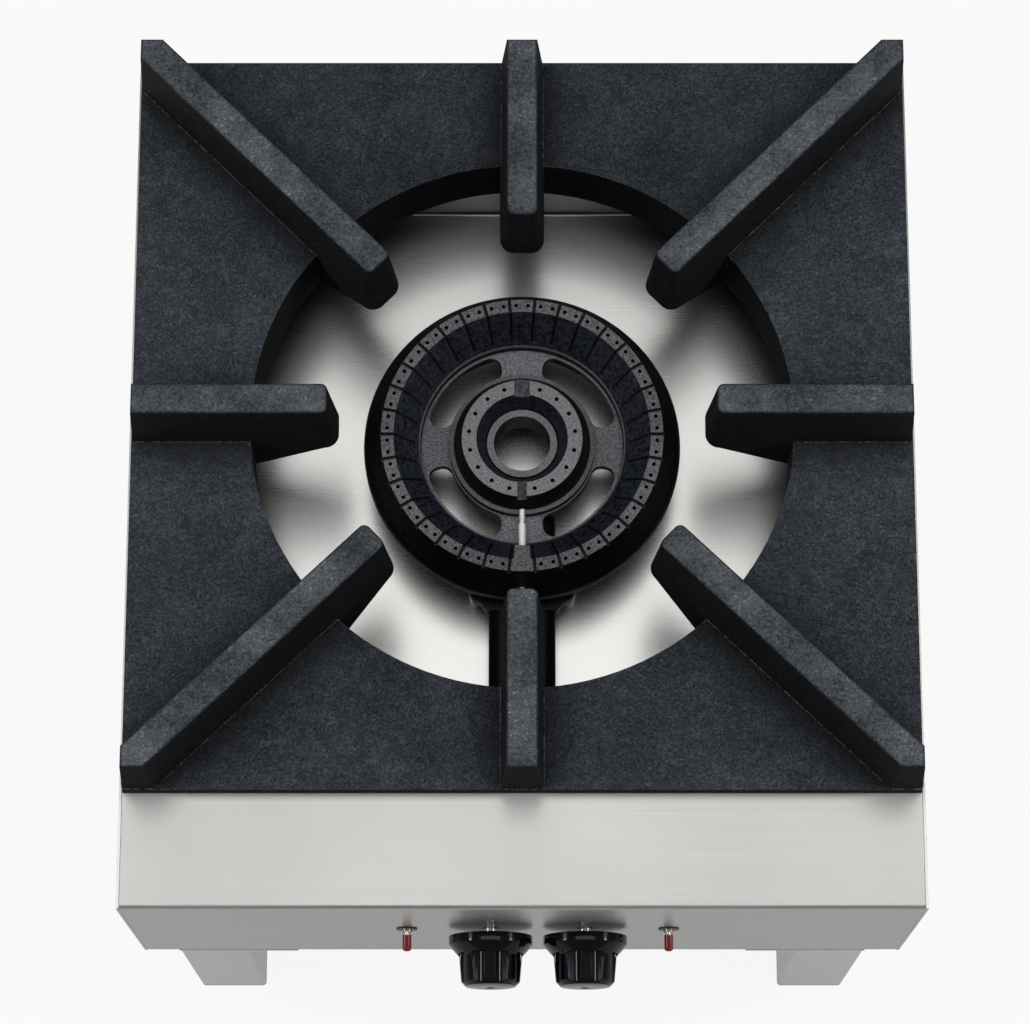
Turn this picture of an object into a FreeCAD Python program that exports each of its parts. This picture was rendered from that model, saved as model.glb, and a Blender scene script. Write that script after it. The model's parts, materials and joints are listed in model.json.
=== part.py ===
import FreeCAD, Part
import math
import os
import re

import Sketcher
from FreeCAD import Placement, Rotation, Vector

# Paella burner: a stainless box on four legs with a two-ring cast burner under an eight-finger grate.
# Millimetres, +Z up, +Y to the back. The floor is z = 0 and the middle of the footprint is the origin.

os.makedirs("parts", exist_ok=True)
doc = FreeCAD.newDocument("paella_burner")
sizes = doc.addObject("Spreadsheet::Sheet", "sizes")

SIZES = (
    ("body_width", 450, "outside width of the casing"),
    ("body_depth", 500, "front panel face to back panel face"),
    ("panel_height", 160, "height of the casing"),
    ("leg_height", 160, "floor to the underside of the casing"),
    ("sheet_gauge", 1.5, "thickness of the casing sheet"),
    ("sheet_seam", 0.2, "gap at a welded seam"),
    ("bend_radius", 2.5, "outside radius of a sheet bend"),
    ("ledge_depth", 65, "landing ledge in front of the grate"),
    ("seat_flange", 18, "flange that carries the grate"),
    ("seat_hem", 15, "turned-down edge behind the ledge"),
    ("foot_flange", 46, "bottom flange that carries the legs"),
    ("side_flange", 16, "bottom flange of a side panel"),
    ("flange_gap", 1, "space between neighbouring flanges"),
    ("leg_side", 41, "side of a square leg"),
    ("leg_inset", 20.5, "casing side to the outer face of a leg"),
    ("leg_gauge", 1.5, "wall of a leg"),
    ("leg_round", 2.5, "corner radius of a leg"),
    ("ear_length", 30, "bolting ear beside a leg"),
    ("ear_gauge", 3, "thickness of a bolting ear"),
    ("plug_base", 2, "foot plug below the leg"),
    ("plug_insert", 15, "foot plug inside the leg"),
    ("plug_gap", 0.15, "foot plug to leg wall"),
    ("leg_bolt_radius", 3, "leg bolt shank"),
    ("bolt_gap", 0.3, "bolt shank to its hole"),
    ("leg_bolt_pitch", 22, "distance between the two bolts of a leg"),
    ("plate_reveal", 2, "casing edge left showing beside the grate"),
    ("plate_thickness", 10, "grate plate"),
    ("axis_forward", 3.2, "burner axis in front of the middle of the grate"),
    ("plate_round", 3, "corner radius of the grate plate"),
    ("hole_radius", 155.6, "round opening of the grate"),
    ("collar_wall", 10, "wall of the collar round the opening"),
    ("collar_depth", 45, "collar below the top of the plate"),
    ("finger_rise", 46, "finger tops above the plate"),
    ("finger_width", 25.5, "width of a finger at its foot"),
    ("finger_draft", 4.2, "casting draft of a finger in degrees"),
    ("finger_tip_radius", 105, "burner axis to a finger tip"),
    ("corner_tip_radius", 108.5, "burner axis to the tip of a corner finger"),
    ("finger_tip_drop", 9.7, "finger tip below the plate top"),
    ("finger_root_rise", 1, "finger root above the bottom of the collar"),
    ("finger_tip_round", 8, "corner radius of a finger tip"),
    ("finger_top_round", 1.6, "edge radius of a finger top"),
    ("lug_length", 40, "locating lug under the grate"),
    ("lug_width", 6, "thickness of a locating lug"),
    ("lug_drop", 8, "height of a locating lug"),
    ("lug_offset", 120, "burner axis to the middle of a lug"),
    ("lug_play", 1.5, "lug to the flange beside it"),
    ("ring_seat_depth", 47.6, "plate top to the joint of the outer ring"),
    ("ring_cap_height", 22.5, "outer ring cap above its joint"),
    ("ring_rim_radius", 92.5, "widest radius of the outer ring cap"),
    ("ring_wall_radius", 88, "outside of the ring trough"),
    ("ring_lip", 6.4, "cap lip over the trough"),
    ("lip_gap", 0.3, "cap lip to trough"),
    ("rim_drop", 4, "joint down to the widest edge of the cap"),
    ("pad_outer_radius", 81.7, "outer edge of the port pads"),
    ("pad_inner_radius", 74.5, "inner edge of the port pads"),
    ("slope_radius", 59.5, "inner edge of the outer ring"),
    ("slope_foot", 1, "height of the inner edge above the joint"),
    ("cap_wall", 4.5, "wall of a ring cap"),
    ("cap_slope_inset", 1, "hollow of the outer cap to the inner pad edge"),
    ("cap_shoulder_inset", 1.7, "hollow of the outer cap to the outer pad edge"),
    ("cap_hollow_foot", 2, "upright foot of that hollow"),
    ("trough_wall", 5, "wall of a ring trough"),
    ("trough_depth", 15, "depth of a ring trough"),
    ("trough_floor", 5, "floor of a ring trough"),
    ("pad_count", 34, "positions round the outer ring"),
    ("port_radius", 1.1, "port hole"),
    ("port_pitch", 7, "distance between the two ports of a pad"),
    ("side_port_radius", 0.8, "carry-over port on the shoulder"),
    ("side_port_height", 6.5, "joint up to the row of carry-over ports"),
    ("side_port_depth", 14, "length of a carry-over port from the widest edge"),
    ("groove_width", 1.9, "groove between two pads"),
    ("groove_depth", 2.4, "depth of a groove"),
    ("groove_stop", 2.5, "inner edge left whole at the end of a groove"),
    ("bridge_inner_width", 8.4, "bridge block at its inner end"),
    ("bridge_outer_width", 11, "bridge block at its outer end"),
    ("bridge_start", 66.3, "burner axis to the inner end of the bridge block"),
    ("spider_top", 4.4, "joint down to the top of the spider"),
    ("spider_thickness", 6, "thickness of the spider"),
    ("slot_inner_radius", 43.5, "inner edge of an air slot"),
    ("slot_outer_radius", 57.5, "outer edge of an air slot"),
    ("slot_angle", 62, "sweep of an air slot in degrees"),
    ("slot_round", 6, "corner radius of an air slot"),
    ("inner_seat_rise", 1.6, "outer joint up to the inner joint"),
    ("inner_rim_radius", 42.4, "outside of the inner ring trough"),
    ("inner_cap_radius", 39.8, "widest radius of the inner ring cap"),
    ("inner_cap_height", 12.5, "inner ring cap above its joint"),
    ("inner_top_outer", 35, "outer edge of the inner ring top"),
    ("inner_top_inner", 26.6, "inner edge of the inner ring top"),
    ("inner_port_radius", 1.2, "port of the inner ring"),
    ("inner_port_ring", 31, "radius of the inner ports"),
    ("inner_port_start", 19.4, "first inner port from the back in degrees"),
    ("inner_port_step", 21, "degrees from one inner port to the next"),
    ("inner_port_count", 8, "ports on each half of the inner ring"),
    ("inner_slope_inset", 1.6, "hollow of the inner cap to the inner edge of its top"),
    ("inner_shoulder_inset", 1.3, "hollow of the inner cap to the outer edge of its top"),
    ("back_notch", 9, "notch at the back of the inner ring"),
    ("front_notch", 5.5, "notch at the front of the inner ring"),
    ("notch_depth", 3, "depth of the notches"),
    ("cut_past", 1, "how far a notch runs past the face that it opens"),
    ("hub_radius", 20.5, "outside of the centre tube"),
    ("hub_bore", 16.5, "bore of the centre tube"),
    ("hub_rise", 3.1, "joint up to the end of the centre tube"),
    ("hub_seat", 6, "joint down to the shoulder of the centre tube"),
    ("hub_shoulder", 2.3, "shoulder that carries the inner cap"),
    ("hub_gap", 0.8, "inner cap to the centre tube"),
    ("mixer_radius", 9.95, "outside of a mixing tube"),
    ("mixer_offset", 9.55, "middle line to the axis of a mixing tube"),
    ("mixer_bore", 7.2, "bore of a mixing tube"),
    ("mixer_drop", 28, "joint down to the mixing tubes"),
    ("mixer_gap", 13.5, "air gap between injector plate and mixing tube"),
    ("mixer_port", 5.5, "gas port from a mixing tube into its ring"),
    ("flare_radius", 12, "rounding where the mixing tubes leave the ring"),
    ("post_radius", 5, "burner post"),
    ("post_ring", 80, "burner axis to a post"),
    ("post_spread", 20, "front posts to the middle line in degrees"),
    ("post_bolt_radius", 2.5, "burner bolt shank"),
    ("post_bolt_length", 20, "burner bolt in its post"),
    ("pan_gauge", 1.2, "thickness of the spill pan"),
    ("pan_margin", 35, "casing side to the pan wall"),
    ("pan_front", 60, "ledge back to the pan front"),
    ("pan_back", 57, "casing back to the pan back"),
    ("pan_rim_depth", 60, "plate top to the pan rim"),
    ("pan_floor_depth", 105, "plate top to the pan floor"),
    ("pan_round", 12, "corner radius of the pan"),
    ("pan_fold", 3, "fold radius of the pan floor"),
    ("pan_flange", 20, "front and back rim of the pan"),
    ("pan_side_flange", 28, "side rim of the pan"),
    ("pan_notch", 48, "notch for the mixing tubes"),
    ("rail_width", 20, "legs of a pan rail"),
    ("control_depth", 82, "plate top to the control axis"),
    ("control_offset", 9, "middle of the controls to the right"),
    ("knob_pitch", 54, "distance between the knobs"),
    ("lever_pitch", 150, "distance between the levers"),
    ("knob_gap", 5, "knob to panel"),
    ("knob_length", 29.2, "length of a knob"),
    ("knob_radius", 24, "knob skirt"),
    ("knob_rim", 5, "upright edge of the skirt"),
    ("grip_foot", 11.5, "knob back to the foot of the grip"),
    ("grip_radius", 18, "grip at its foot"),
    ("grip_end_radius", 16.8, "grip at its end"),
    ("grip_chamfer", 2.6, "chamfer at the end of the grip"),
    ("knob_crown", 0.7, "rise of the domed end"),
    ("flute_count", 8, "flutes of the grip"),
    ("flute_radius", 6, "radius of a flute"),
    ("flute_centre", 21.6, "knob axis to the centre of a flute"),
    ("knob_eye_radius", 2.4, "hole in the knob end"),
    ("knob_eye_depth", 6, "depth of that hole"),
    ("knob_round", 1.2, "edge radius of a knob"),
    ("stem_radius", 3.5, "valve stem"),
    ("stem_reach", 15, "stem inside the knob"),
    ("run_gap", 0.05, "running clearance of turning parts"),
    ("stem_hole", 5, "radius of a stem hole in the panel"),
    ("valve_radius", 11, "valve body"),
    ("valve_neck_radius", 8, "valve neck behind the panel"),
    ("valve_neck", 6.5, "length of the valve neck"),
    ("valve_length", 34, "length of the valve body"),
    ("valve_tail_radius", 5.5, "valve outlet"),
    ("valve_tail", 8, "length of the valve outlet"),
    ("plug_radius", 6, "turning plug in the valve"),
    ("plug_start", 14, "panel to the plug"),
    ("plug_length", 17.6, "length of the plug"),
    ("nut_radius", 7.5, "corner radius of an outlet nut"),
    ("nut_length", 6, "length of an outlet nut"),
    ("inlet_stub_radius", 6, "valve inlet"),
    ("manifold_y", 26, "panel to the manifold axis"),
    ("manifold_drop", 35, "control axis down to the manifold axis"),
    ("manifold_radius", 10.65, "outside of the manifold pipe"),
    ("manifold_bore", 8, "bore of the manifold pipe"),
    ("manifold_left", 110, "burner axis to the closed end"),
    ("manifold_bend", 30, "bend radius of the manifold"),
    ("return_inset", 18, "casing side to the return pipe"),
    ("socket_radius", 14, "pipe socket at the inlet"),
    ("socket_length", 28, "length of the pipe socket"),
    ("inlet_inside", 22, "inlet nipple inside the casing"),
    ("inlet_reach", 25, "inlet nipple behind the casing"),
    ("inlet_radius", 10.48, "free end of the inlet nipple"),
    ("inlet_body_radius", 11.5, "inlet nipple where it passes the panel"),
    ("inlet_gap", 0.1, "inlet nipple to its lock nut"),
    ("locknut_radius", 17.3, "corner radius of the inlet lock nut"),
    ("locknut_length", 6, "length of the lock nut"),
    ("boss_top", 14, "manifold axis to the top of a boss"),
    ("boss_radius", 8, "valve boss on the manifold"),
    ("end_plug_radius", 14, "corner radius of the end plug"),
    ("end_plug_length", 14, "length of the end plug"),
    ("bracket_gauge", 3, "thickness of a bracket"),
    ("bracket_width", 36, "width of a bracket"),
    ("bracket_foot", 20, "foot of a bracket"),
    ("bracket_top", 15, "bracket above the manifold axis"),
    ("bracket_gap", 0.2, "pipe to bracket"),
    ("screw_radius", 2, "small screw shank"),
    ("screw_head", 4, "small screw head"),
    ("feed_radius", 4, "feed tube"),
    ("feed_bend", 11, "bend radius of a feed tube"),
    ("injector_set", 29, "injector plate in front of the pan"),
    ("injector_plate_gauge", 2.5, "thickness of the injector plate"),
    ("injector_plate_width", 90, "width of the injector plate"),
    ("injector_plate_drop", 12, "plate below the injector axis"),
    ("injector_hex", 7.2, "corner radius of an injector"),
    ("injector_head", 8, "length of the injector head"),
    ("injector_thread", 4, "injector thread radius"),
    ("injector_nose", 11, "injector behind the plate"),
    ("injector_orifice", 0.9, "jet of an injector"),
    ("tab_width", 17, "tab of the injector plate"),
    ("pilot_radius", 2.5, "pilot tube"),
    ("pilot_bend", 9, "bend radius of a pilot tube"),
    ("pilot_rise", 4.6, "pilot tube above the ring joint"),
    ("pilot_low", 7.5, "collar bottom down to the pilot tubes"),
    ("pilot_spread", 6, "distance between the pilot tubes"),
    ("pilot_waist", 0.6, "share of the lever offset left at the second bend of a pilot tube"),
    ("pilot_end", 49, "burner axis to the end of the inner pilot tube"),
    ("pilot_stop", 98, "burner axis to the end of the outer pilot tube"),
    ("nozzle_nut", 1.6, "radius of a pilot nozzle nut"),
    ("nozzle_nut_length", 2.5, "length of a pilot nozzle nut"),
    ("nozzle_radius", 1.85, "pilot nozzle"),
    ("nozzle_length", 6.5, "length of a pilot nozzle"),
    ("tunnel_gap", 1.2, "pilot tube to the tunnel in the bridge"),
    ("cock_radius", 7, "pilot valve body"),
    ("cock_length", 30, "length of the pilot valve body"),
    ("cock_tail_radius", 4, "pilot valve outlet"),
    ("cock_tail", 8, "length of the pilot valve outlet"),
    ("cock_nut_radius", 6.5, "corner radius of the inner nut"),
    ("cock_nut_length", 2.5, "length of the inner nut"),
    ("cock_stub_radius", 4.5, "pilot valve inlet"),
    ("cock_boss_radius", 6.5, "pilot valve boss on the manifold"),
    ("bushing_radius", 3.15, "threaded bushing of a lever"),
    ("bushing_reach", 2.5, "bushing in front of the panel"),
    ("bushing_bore", 2.5, "bore of the bushing"),
    ("bushing_bore_depth", 8, "panel to the end of the bushing bore"),
    ("washer_radius", 6, "washer on the panel"),
    ("washer_gauge", 0.9, "thickness of the washer"),
    ("lever_pivot", 0.8, "panel to the lever pivot"),
    ("lever_tilt", 13, "lever below level at rest in degrees"),
    ("lever_ball", 2.35, "ball of a lever"),
    ("lever_radius", 1.3, "rod of a lever"),
    ("lever_tail", 4, "lever behind its pivot"),
    ("sleeve_radius", 2.6, "red sleeve"),
    ("sleeve_start", 4.5, "pivot to the sleeve"),
    ("sleeve_end", 14, "pivot to the end of the sleeve"),
    ("sleeve_cap", 1.4, "closed end of the sleeve"),
    ("sleeve_round", 1.8, "dome of the sleeve"),
)

for row, (alias, size, meaning) in enumerate(SIZES, 1):
    sizes.set(f"A{row}", meaning)
    sizes.set(f"B{row}", str(size))
    sizes.setAlias(f"B{row}", alias)
doc.recompute()


def bound(text):
    """Point each size name of an expression at its cell."""
    return re.sub(r"[a-z]+(?:_[a-z]+)+", lambda found: f"sizes.{found.group(0)}", text)


def number(text):
    """Value of an expression with the present sizes."""
    return float(sizes.evalExpression(bound(text)))


def bind(item, **properties):
    for name, text in properties.items():
        item.setExpression(name, bound(text))


PLATE_W = "(body_width - 2 * plate_reveal)"
PLATE_D = "(body_depth - ledge_depth - plate_reveal)"
LEDGE_Z = "(leg_height + panel_height)"
PLATE_Z = "(leg_height + panel_height + plate_thickness)"
PANEL_Y = "((knob_gap + knob_length - body_depth - inlet_reach) / 2)"
AXIS_Y = f"(ledge_depth + {PLATE_D} / 2 - axis_forward)"
BURNER_Y = f"({PANEL_Y} + {AXIS_Y})"
SEAT_Z = f"({PLATE_Z} - ring_seat_depth)"
CONTROL_Z = f"({PLATE_Z} - control_depth)"
MANIFOLD_Z = f"({CONTROL_Z} - manifold_drop)"
MIXER_Z = f"({SEAT_Z} - mixer_drop)"
PAN_Z = f"({PLATE_Z} - pan_rim_depth)"
PAN_FLOOR_Z = f"({PLATE_Z} - pan_floor_depth)"
PAN_FRONT = "(ledge_depth + pan_front)"
PAN_BACK = "(body_depth - pan_back)"
PAN_HALF = "(body_width / 2 - pan_margin)"
INJECTOR_Y = f"({PAN_FRONT} - injector_set)"
MIXER_Y = f"({INJECTOR_Y} + injector_plate_gauge + mixer_gap)"
RETURN_X = "(body_width / 2 - return_inset)"
FOOT_Z = "(leg_height + sheet_gauge)"
RING_FLOOR = "(trough_depth + trough_floor)"
HALF_FINGER = "(finger_width / 2)"

made = []


def new_part(label):
    body = doc.addObject("PartDesign::Body", label)
    body.Label = label
    made.append(body)
    return body


def origin(body, role):
    return [item for item in body.Origin.OriginFeatures if item.Role == role][0]


def new_sketch(body, plane, lift=None, turn=None):
    """Empty sketch on one of the body's own planes, turned about its upright and lifted off it."""
    sketch = body.newObject("Sketcher::SketchObject", f"{body.Name}_sketch")
    sketch.AttachmentSupport = [(origin(body, plane), "")]
    sketch.MapMode = "FlatFace"
    if turn:
        sketch.AttachmentOffset = Placement(Vector(), Rotation(Vector(0, 1, 0), number(turn)))
        bind(sketch, **{"AttachmentOffset.Rotation.Angle": turn})
    if lift and turn:
        bind(sketch, **{"AttachmentOffset.Base.x": f"({lift}) * sin({turn})",
                        "AttachmentOffset.Base.z": f"({lift}) * cos({turn})"})
    elif lift:
        bind(sketch, **{"AttachmentOffset.Base.z": lift})
    return sketch


def pin(sketch, kind, element, point, text):
    """Hold one coordinate of a sketch point at an expression."""
    index = sketch.addConstraint(Sketcher.Constraint(kind, -1, 1, element, point, number(text)))
    bind(sketch, **{f"Constraints[{index}]": text})


def outline(body, plane, loops, lift=None, turn=None):
    """Sketch of closed polygons whose corners are expressions."""
    sketch = new_sketch(body, plane, lift, turn)
    for loop in loops:
        first = sketch.GeometryCount
        corners = [Vector(number(across), number(up), 0) for across, up in loop]
        count = len(corners)
        for i in range(count):
            sketch.addGeometry(Part.LineSegment(corners[i], corners[(i + 1) % count]))
        for i in range(count):
            following = first + (i + 1) % count
            sketch.addConstraint(Sketcher.Constraint("Coincident", first + i, 2, following, 1))
        for i, (across, up) in enumerate(loop):
            pin(sketch, "DistanceX", first + i, 1, across)
            pin(sketch, "DistanceY", first + i, 1, up)
    return sketch


def round_corner(sketch, line, radius):
    """Round the corner where a line of a sketch begins."""
    arc = sketch.GeometryCount
    sketch.fillet(line, 1, number(radius), True, True)
    index = sketch.addConstraint(Sketcher.Constraint("Radius", arc, number(radius)))
    bind(sketch, **{f"Constraints[{index}]": radius})


def rounds(body, plane, circles, lift=None, turn=None):
    """Sketch of circles given by centre and radius."""
    sketch = new_sketch(body, plane, lift, turn)
    for across, up, radius in circles:
        centre = Vector(number(across), number(up), 0)
        element = sketch.addGeometry(Part.Circle(centre, Vector(0, 0, 1), number(radius)))
        index = sketch.addConstraint(Sketcher.Constraint("Radius", element, number(radius)))
        bind(sketch, **{f"Constraints[{index}]": radius})
        pin(sketch, "DistanceX", element, 3, across)
        pin(sketch, "DistanceY", element, 3, up)
    return sketch


def box(x0, y0, x1, y1):
    return [(x0, y0), (x1, y0), (x1, y1), (x0, y1)]


def hexagon(radius):
    return [(f"{radius} * cos({60 * k})", f"{radius} * sin({60 * k})") for k in range(6)]


def pad(body, sketch, length, back=False, both=False, draft=None):
    feature = body.newObject("PartDesign::Pad", f"{body.Name}_pad")
    feature.Profile = sketch
    feature.Reversed = back
    if both:
        feature.SideType = "Symmetric"
    bind(feature, Length=length)
    if draft:
        bind(feature, TaperAngle=f"-{draft}")
    return feature


def pocket(body, sketch, length=None, back=False, both=False):
    feature = body.newObject("PartDesign::Pocket", f"{body.Name}_pocket")
    feature.Profile = sketch
    feature.Reversed = back
    if both:
        feature.SideType = "Symmetric"
    if length:
        bind(feature, Length=length)
    else:
        feature.Type = "ThroughAll"
    return feature


def spin(body, loop, kind="PartDesign::Revolution", turn=None, angle=None):
    """Turn a closed outline of radii and heights about the body's upright axis."""
    doc.recompute()
    sketch = outline(body, "XZ_Plane", [loop], turn=turn)
    feature = body.newObject(kind, f"{body.Name}_spin")
    feature.Profile = sketch
    feature.ReferenceAxis = (sketch, ["V_Axis"])
    if angle:
        feature.Midplane = True
        bind(feature, Angle=angle)
    else:
        feature.Angle = 360
    return feature


def polar(body, features, count, extent="360"):
    """Repeat features round the body's upright axis."""
    doc.recompute()
    pattern = body.newObject("PartDesign::PolarPattern", f"{body.Name}_pattern")
    pattern.Originals = features
    pattern.Axis = (origin(body, "Z_Axis"), [""])
    pattern.Mode = "Extent"
    bind(pattern, Angle=extent, Occurrences=count)
    body.Tip = pattern
    doc.recompute()
    return pattern


def mirror(body, features):
    """Repeat features on the other side of the body's middle plane."""
    doc.recompute()
    pattern = body.newObject("PartDesign::Mirrored", f"{body.Name}_mirror")
    pattern.Originals = features
    pattern.MirrorPlane = (origin(body, "YZ_Plane"), [""])
    body.Tip = pattern
    doc.recompute()


def soften(body, radius, chosen):
    """Round the edges of the finished shape that a test picks."""
    doc.recompute()
    tip = body.Tip
    names = [f"Edge{i}" for i, edge in enumerate(tip.Shape.Edges, 1) if chosen(edge)]
    if not names:
        raise RuntimeError(f"no edge to round on {body.Label}")
    feature = body.newObject("PartDesign::Fillet", f"{body.Name}_round")
    feature.Base = (tip, names)
    bind(feature, Radius=radius)
    return feature


def place(item, x="0", y="0", z="0", axis=None, angle=None):
    if axis:
        item.Placement = Placement(Vector(), Rotation(Vector(*axis), number(angle)))
    bind(item, **{"Placement.Base.x": x, "Placement.Base.y": y, "Placement.Base.z": z})


def ends(edge):
    return [vertex.Point for vertex in edge.Vertexes]


def near(a, b):
    return abs(a - b) < 0.01


def upright(edge):
    points = ends(edge)
    return len(points) == 2 and near(points[0].x, points[1].x) and near(points[0].y, points[1].y)


def level(edge, z):
    """True for an edge that lies at a given height."""
    return all(near(point.z, number(z)) for point in ends(edge))


def along_x(edge):
    points = ends(edge)
    return len(points) == 2 and near(points[0].y, points[1].y) and near(points[0].z, points[1].z)


# Casing sheets. They are drawn with y from the panel face and z from the floor.

sheet_width = "body_width - 2 * (sheet_gauge + sheet_seam)"
seat_back = "(ledge_depth + seat_flange)"

front = new_part("front_panel")
pad(front, outline(front, "YZ_Plane", [[
    ("0", "leg_height"),
    ("0", LEDGE_Z),
    (seat_back, LEDGE_Z),
    (seat_back, f"{LEDGE_Z} - seat_hem"),
    (f"{seat_back} - sheet_gauge", f"{LEDGE_Z} - seat_hem"),
    (f"{seat_back} - sheet_gauge", f"{LEDGE_Z} - sheet_gauge"),
    ("sheet_gauge", f"{LEDGE_Z} - sheet_gauge"),
    ("sheet_gauge", FOOT_Z),
    ("foot_flange", FOOT_Z),
    ("foot_flange", "leg_height"),
]]), sheet_width, both=True)

HANDS = {"left": "-1", "right": "1"}
knob_x = {side: f"(control_offset + {sign} * knob_pitch / 2)" for side, sign in HANDS.items()}
lever_x = {side: f"(control_offset + {sign} * lever_pitch / 2)" for side, sign in HANDS.items()}

pocket(front, rounds(front, "XZ_Plane", [
    *((x, CONTROL_Z, "stem_hole") for x in knob_x.values()),
    *((x, CONTROL_Z, "bushing_radius + bolt_gap / 2") for x in lever_x.values()),
]), "2 * sheet_gauge")

ear_x = "(body_width / 2 - leg_inset - leg_side - ear_length / 2)"
bolt_ys = [f"(leg_side / 2 + {sign} * leg_bolt_pitch / 2)" for sign in (-1, 1)]
bracket_x = {side: f"(({knob_x[side]} + {lever_x[side]}) / 2)" for side in HANDS}
bracket_hole = "(bracket_gauge + bracket_foot) / 2"
bracket_screw_x = {side: f"({x} + {bracket_hole})" for side, x in bracket_x.items()}
leg_hole = "leg_bolt_radius + bolt_gap"
screw_hole = "screw_radius + bolt_gap"
pocket(front, rounds(front, "XY_Plane", [
    *((f"{sign} * {ear_x}", y, leg_hole) for sign in (-1, 1) for y in bolt_ys),
    *((x, "manifold_y", screw_hole) for x in bracket_screw_x.values()),
], lift="leg_height"), "sheet_gauge", back=True)


def panel_edge(edge, y):
    """True for an edge that runs the whole width of a panel at a given depth."""
    return along_x(edge) and near(ends(edge)[0].y, number(y)) and edge.Length > number("body_width") / 2


soften(front, "bend_radius", lambda edge: panel_edge(edge, "0"))

back = new_part("back_panel")
back_seat = "(body_depth - seat_flange)"
back_foot = "(body_depth - foot_flange)"
pad(back, outline(back, "YZ_Plane", [[
    ("body_depth", "leg_height"),
    ("body_depth", LEDGE_Z),
    (back_seat, LEDGE_Z),
    (back_seat, f"{LEDGE_Z} - sheet_gauge"),
    ("body_depth - sheet_gauge", f"{LEDGE_Z} - sheet_gauge"),
    ("body_depth - sheet_gauge", FOOT_Z),
    (back_foot, FOOT_Z),
    (back_foot, "leg_height"),
]]), sheet_width, both=True)
pocket(back, rounds(back, "XZ_Plane", [(RETURN_X, MANIFOLD_Z, "inlet_body_radius + bolt_gap")],
                    lift="-body_depth"), "2 * sheet_gauge", back=True)
pocket(back, rounds(back, "XY_Plane", [
    (f"{sign} * {ear_x}", f"(body_depth - {y})", leg_hole) for sign in (-1, 1) for y in bolt_ys
], lift="leg_height"), "sheet_gauge", back=True)
soften(back, "bend_radius", lambda edge: panel_edge(edge, "body_depth"))

for side, sign in HANDS.items():
    skin = new_part(f"side_panel_{side}")
    outer = f"{sign} * body_width / 2"
    inner = f"{sign} * (body_width / 2 - sheet_gauge)"
    pad(skin, outline(skin, "XY_Plane", [box(outer, "0", inner, "body_depth")], lift="leg_height"),
        "panel_height")
    seat = box(inner, f"{seat_back} + flange_gap",
               f"{sign} * (body_width / 2 - seat_flange)", f"{back_seat} - flange_gap")
    pad(skin, outline(skin, "XY_Plane", [seat], lift=LEDGE_Z), "sheet_gauge", back=True)
    foot = box(inner, "foot_flange + flange_gap",
               f"{sign} * (body_width / 2 - side_flange)", f"{back_foot} - flange_gap")
    pad(skin, outline(skin, "XY_Plane", [foot], lift="leg_height"), "sheet_gauge")

    rail = new_part(f"pan_rail_{side}")
    wall = f"{sign} * (body_width / 2 - sheet_gauge)"
    step = f"{sign} * (body_width / 2 - sheet_gauge - rail_width)"
    thin = f"{sign} * (body_width / 2 - 2 * sheet_gauge)"
    rail_top = f"({PAN_Z} - pan_gauge)"
    pad(rail, outline(rail, "XZ_Plane", [[
        (wall, rail_top),
        (step, rail_top),
        (step, f"{rail_top} - sheet_gauge"),
        (thin, f"{rail_top} - sheet_gauge"),
        (thin, f"{rail_top} - rail_width"),
        (wall, f"{rail_top} - rail_width"),
    ]], lift=f"pan_flange - {PAN_FRONT}"), f"{PAN_BACK} - {PAN_FRONT} + 2 * pan_flange", back=True)

# Spill pan: a folded tray with a flat rim, notched in front for the mixing tubes.

pan = new_part("spill_pan")
tray = box(f"-{PAN_HALF}", PAN_FRONT, PAN_HALF, PAN_BACK)
pad(pan, outline(pan, "XY_Plane", [tray], lift=PAN_FLOOR_Z), f"{PAN_Z} - {PAN_FLOOR_Z}")
soften(pan, "pan_round", upright)
soften(pan, "pan_fold", lambda edge: level(edge, PAN_FLOOR_Z))
doc.recompute()
tray_block = pan.Tip
mouth = [f"Face{i}" for i, face in enumerate(tray_block.Shape.Faces, 1)
         if near(face.BoundBox.ZMin, number(PAN_Z))]
shell = pan.newObject("PartDesign::Thickness", "spill_pan_shell")
shell.Base = (tray_block, mouth)
shell.Reversed = True
bind(shell, Value="pan_gauge")
rim = box(f"-({PAN_HALF} + pan_side_flange)", f"{PAN_FRONT} - pan_flange",
          f"{PAN_HALF} + pan_side_flange", f"{PAN_BACK} + pan_flange")
rim_hole = box(f"-({PAN_HALF} - pan_gauge)", f"{PAN_FRONT} + pan_gauge",
               f"{PAN_HALF} - pan_gauge", f"{PAN_BACK} - pan_gauge")
pad(pan, outline(pan, "XY_Plane", [rim, rim_hole], lift=PAN_Z), "pan_gauge", back=True)
notch = box("-pan_notch / 2", f"{PAN_FRONT} - pan_flange - pan_gauge",
            "pan_notch / 2", f"{PAN_FRONT} + 2 * pan_gauge")
pocket(pan, outline(pan, "XY_Plane", [notch], lift=PAN_Z),
       f"{PAN_Z} - {MIXER_Z} + mixer_radius + 2 * pan_gauge")

post_angles = ("90", "270 - post_spread", "270 + post_spread")
post_places = [(f"post_ring * cos({angle})", f"post_ring * sin({angle})") for angle in post_angles]
post_hole = "post_bolt_radius + bolt_gap"
pocket(pan, rounds(pan, "XY_Plane", [(x, f"{AXIS_Y} + {y}", post_hole) for x, y in post_places],
                   lift=f"{PAN_FLOOR_Z} + 2 * pan_gauge"), "4 * pan_gauge")
tab_x = "(injector_plate_width / 2 - tab_width / 2)"
tab_y = f"({PAN_FRONT} - pan_flange / 2)"
tab_holes = [(f"{sign} * {tab_x}", tab_y, screw_hole) for sign in HANDS.values()]
pocket(pan, rounds(pan, "XY_Plane", tab_holes, lift=PAN_Z), "2 * pan_gauge")

for item in made:
    place(item, y=PANEL_Y)

# Legs: square tubes with a bolting ear under the casing flange, closed by plugs.

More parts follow.
